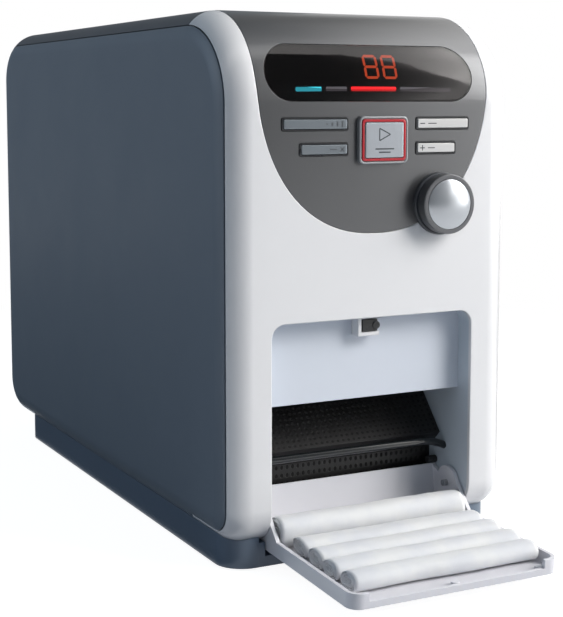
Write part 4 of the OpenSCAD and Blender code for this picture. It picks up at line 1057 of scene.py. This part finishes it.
def round_spindle(profile, name, made, nodes, steps=96):
    """A ring round the spindle from its closed section, given as (across, radius)."""
    line = [spot(x, roll_y, roll_z + r) for x, r in profile]
    finish(spun(line, spot(0, roll_y, roll_z), (1, 0, 0), True, steps), name, made, "spool", nodes)


right_side = [(roll_half - 0.5 + 0.5 * noise.noise(Vector((k * 0.7, 2, 0))), core_r + 53.2 * k / layers)
              for k in range(layers + 1)]
left_side = [(-x, r) for x, r in right_side[::-1]]
roll_rim = [(roll_half - 1.5, roll_r), (-roll_half + 1.5, roll_r)]
round_spindle(right_side + roll_rim + left_side, "supply_roll_wound", cloth_white, ["supply_roll"])
round_spindle([(-65.6, 19.05), (65.6, 19.05), (65.6, 21.35), (-65.6, 21.35)], "roll_core_card", card_brown,
              [], 64)
eased("roll_spindle", pin_steel, "spool", 0.4)

# Mechanism
# Zinc-plated side frames carry the rollers, the cutter, the winding rollers and their release arm.
zinc = plastic("frame_zinc_plated", "#a9adb0", "#8f9498", (0.3, 0.45), 1.0, 0.01, Metallic=0.9)
roller_rubber = plastic("roller_rubber_black", "#2d2e30", "#242527", (0.6, 0.75), 0.5, 0.03)
nylon = plastic("gear_nylon_white", "#dcdcd4", "#d0d0c6", (0.4, 0.5), 0.5, 0.01)
brass = plastic("pinion_brass", "#b8994f", "#a38642", (0.25, 0.35), 0.6, 0.005, Metallic=0.9)
motor_steel = plastic("motor_can_steel", "#8d9195", "#7e8286", (0.3, 0.4), 0.8, 0.01, Metallic=0.8)
blade_steel = plastic("blade_steel_ground", "#c4c7ca", "#b3b7ba", (0.15, 0.25), 0.6, 0.004, Metallic=0.95)
spray_blue = plastic("spray_bar_blue", "#3f7396", "#376685", (0.3, 0.4), 0.5, 0.01)
for node, made, body, slot, width in (
        ("side_frames", zinc, "housing", "frame_steel", 0.25),
        ("feed_roller", roller_rubber, "feed", "rubber", 0.4),
        ("feed_gear", nylon, "feed", "gear_nylon", 0.15),
        ("pinch_roller", motor_steel, "pinch", "frame_steel", 0.4),
        ("motor_pinion", brass, "pinion", "brass_pinion", 0.1),
        ("feed_motor", motor_steel, "housing", "frame_steel", 0.5),
        ("cutter_bed", zinc, "housing", "frame_steel", 0.3),
        ("cutter_blade", blade_steel, "blade", "frame_steel", 0.15),
        ("cutter_solenoids", black_gloss, "housing", "black_plastic", 0.4),
        ("winding_roller_front", roller_rubber, "wind_front", "rubber", 0.4),
        ("winding_roller_rear", roller_rubber, "wind_rear", "rubber", 0.4),
        ("winding_roller_top", roller_rubber, "wind_top", "rubber", 0.4),
        ("release_arm", zinc, "release", "frame_steel", 0.25),
        ("spray_bar", spray_blue, "housing", "spray_blue", 0.3)):
    eased(node, made, body, width)

# Water, cooling and mains
# The tank and its pump feed the spray bar; a cooling block, its fan and the power supply stand at the back.
tank_clear = plastic("tank_milky_plastic", "#c4d3da", "#b8c9d2", (0.3, 0.4), 0.5, 0.01,
                     Transmission_Weight=0.35)
hose_clear = plastic("hose_milky_clear", "#b9cbd3", "#aabfc9", (0.2, 0.3), 0.5, 0.01, Transmission_Weight=0.4)
alloy = plastic("heat_sink_alloy", "#b1b4b6", "#a2a6a9", (0.3, 0.4), 0.7, 0.006, Metallic=0.9)
black_moulded = plastic("black_moulded_matt", "#26282b", "#1e2023", (0.4, 0.55), 0.5, 0.02)
for node, made, body, slot, width in (
        ("water_tank", tank_clear, "housing", "tank_plastic", 0.8),
        ("tank_cap", black_moulded, "filler_cap", "black_plastic", 0.3),
        ("water_pump", black_moulded, "housing", "black_plastic", 0.5),
        ("heat_sink", alloy, "housing", "sink_aluminium", 0.15),
        ("fan_frame", black_moulded, "housing", "black_plastic", 0.3),
        ("fan_rotor", black_moulded, "fan", "black_plastic", 0.2),
        ("power_supply", zinc, "housing", "frame_steel", 0.6),
        ("mains_inlet", black_gloss, "housing", "black_plastic", 0.4),
        ("rocker_switch", black_gloss, "rocker", "black_plastic", 0.35)):
    eased(node, made, body, width)
repaint(hose_clear, "water_hoses")
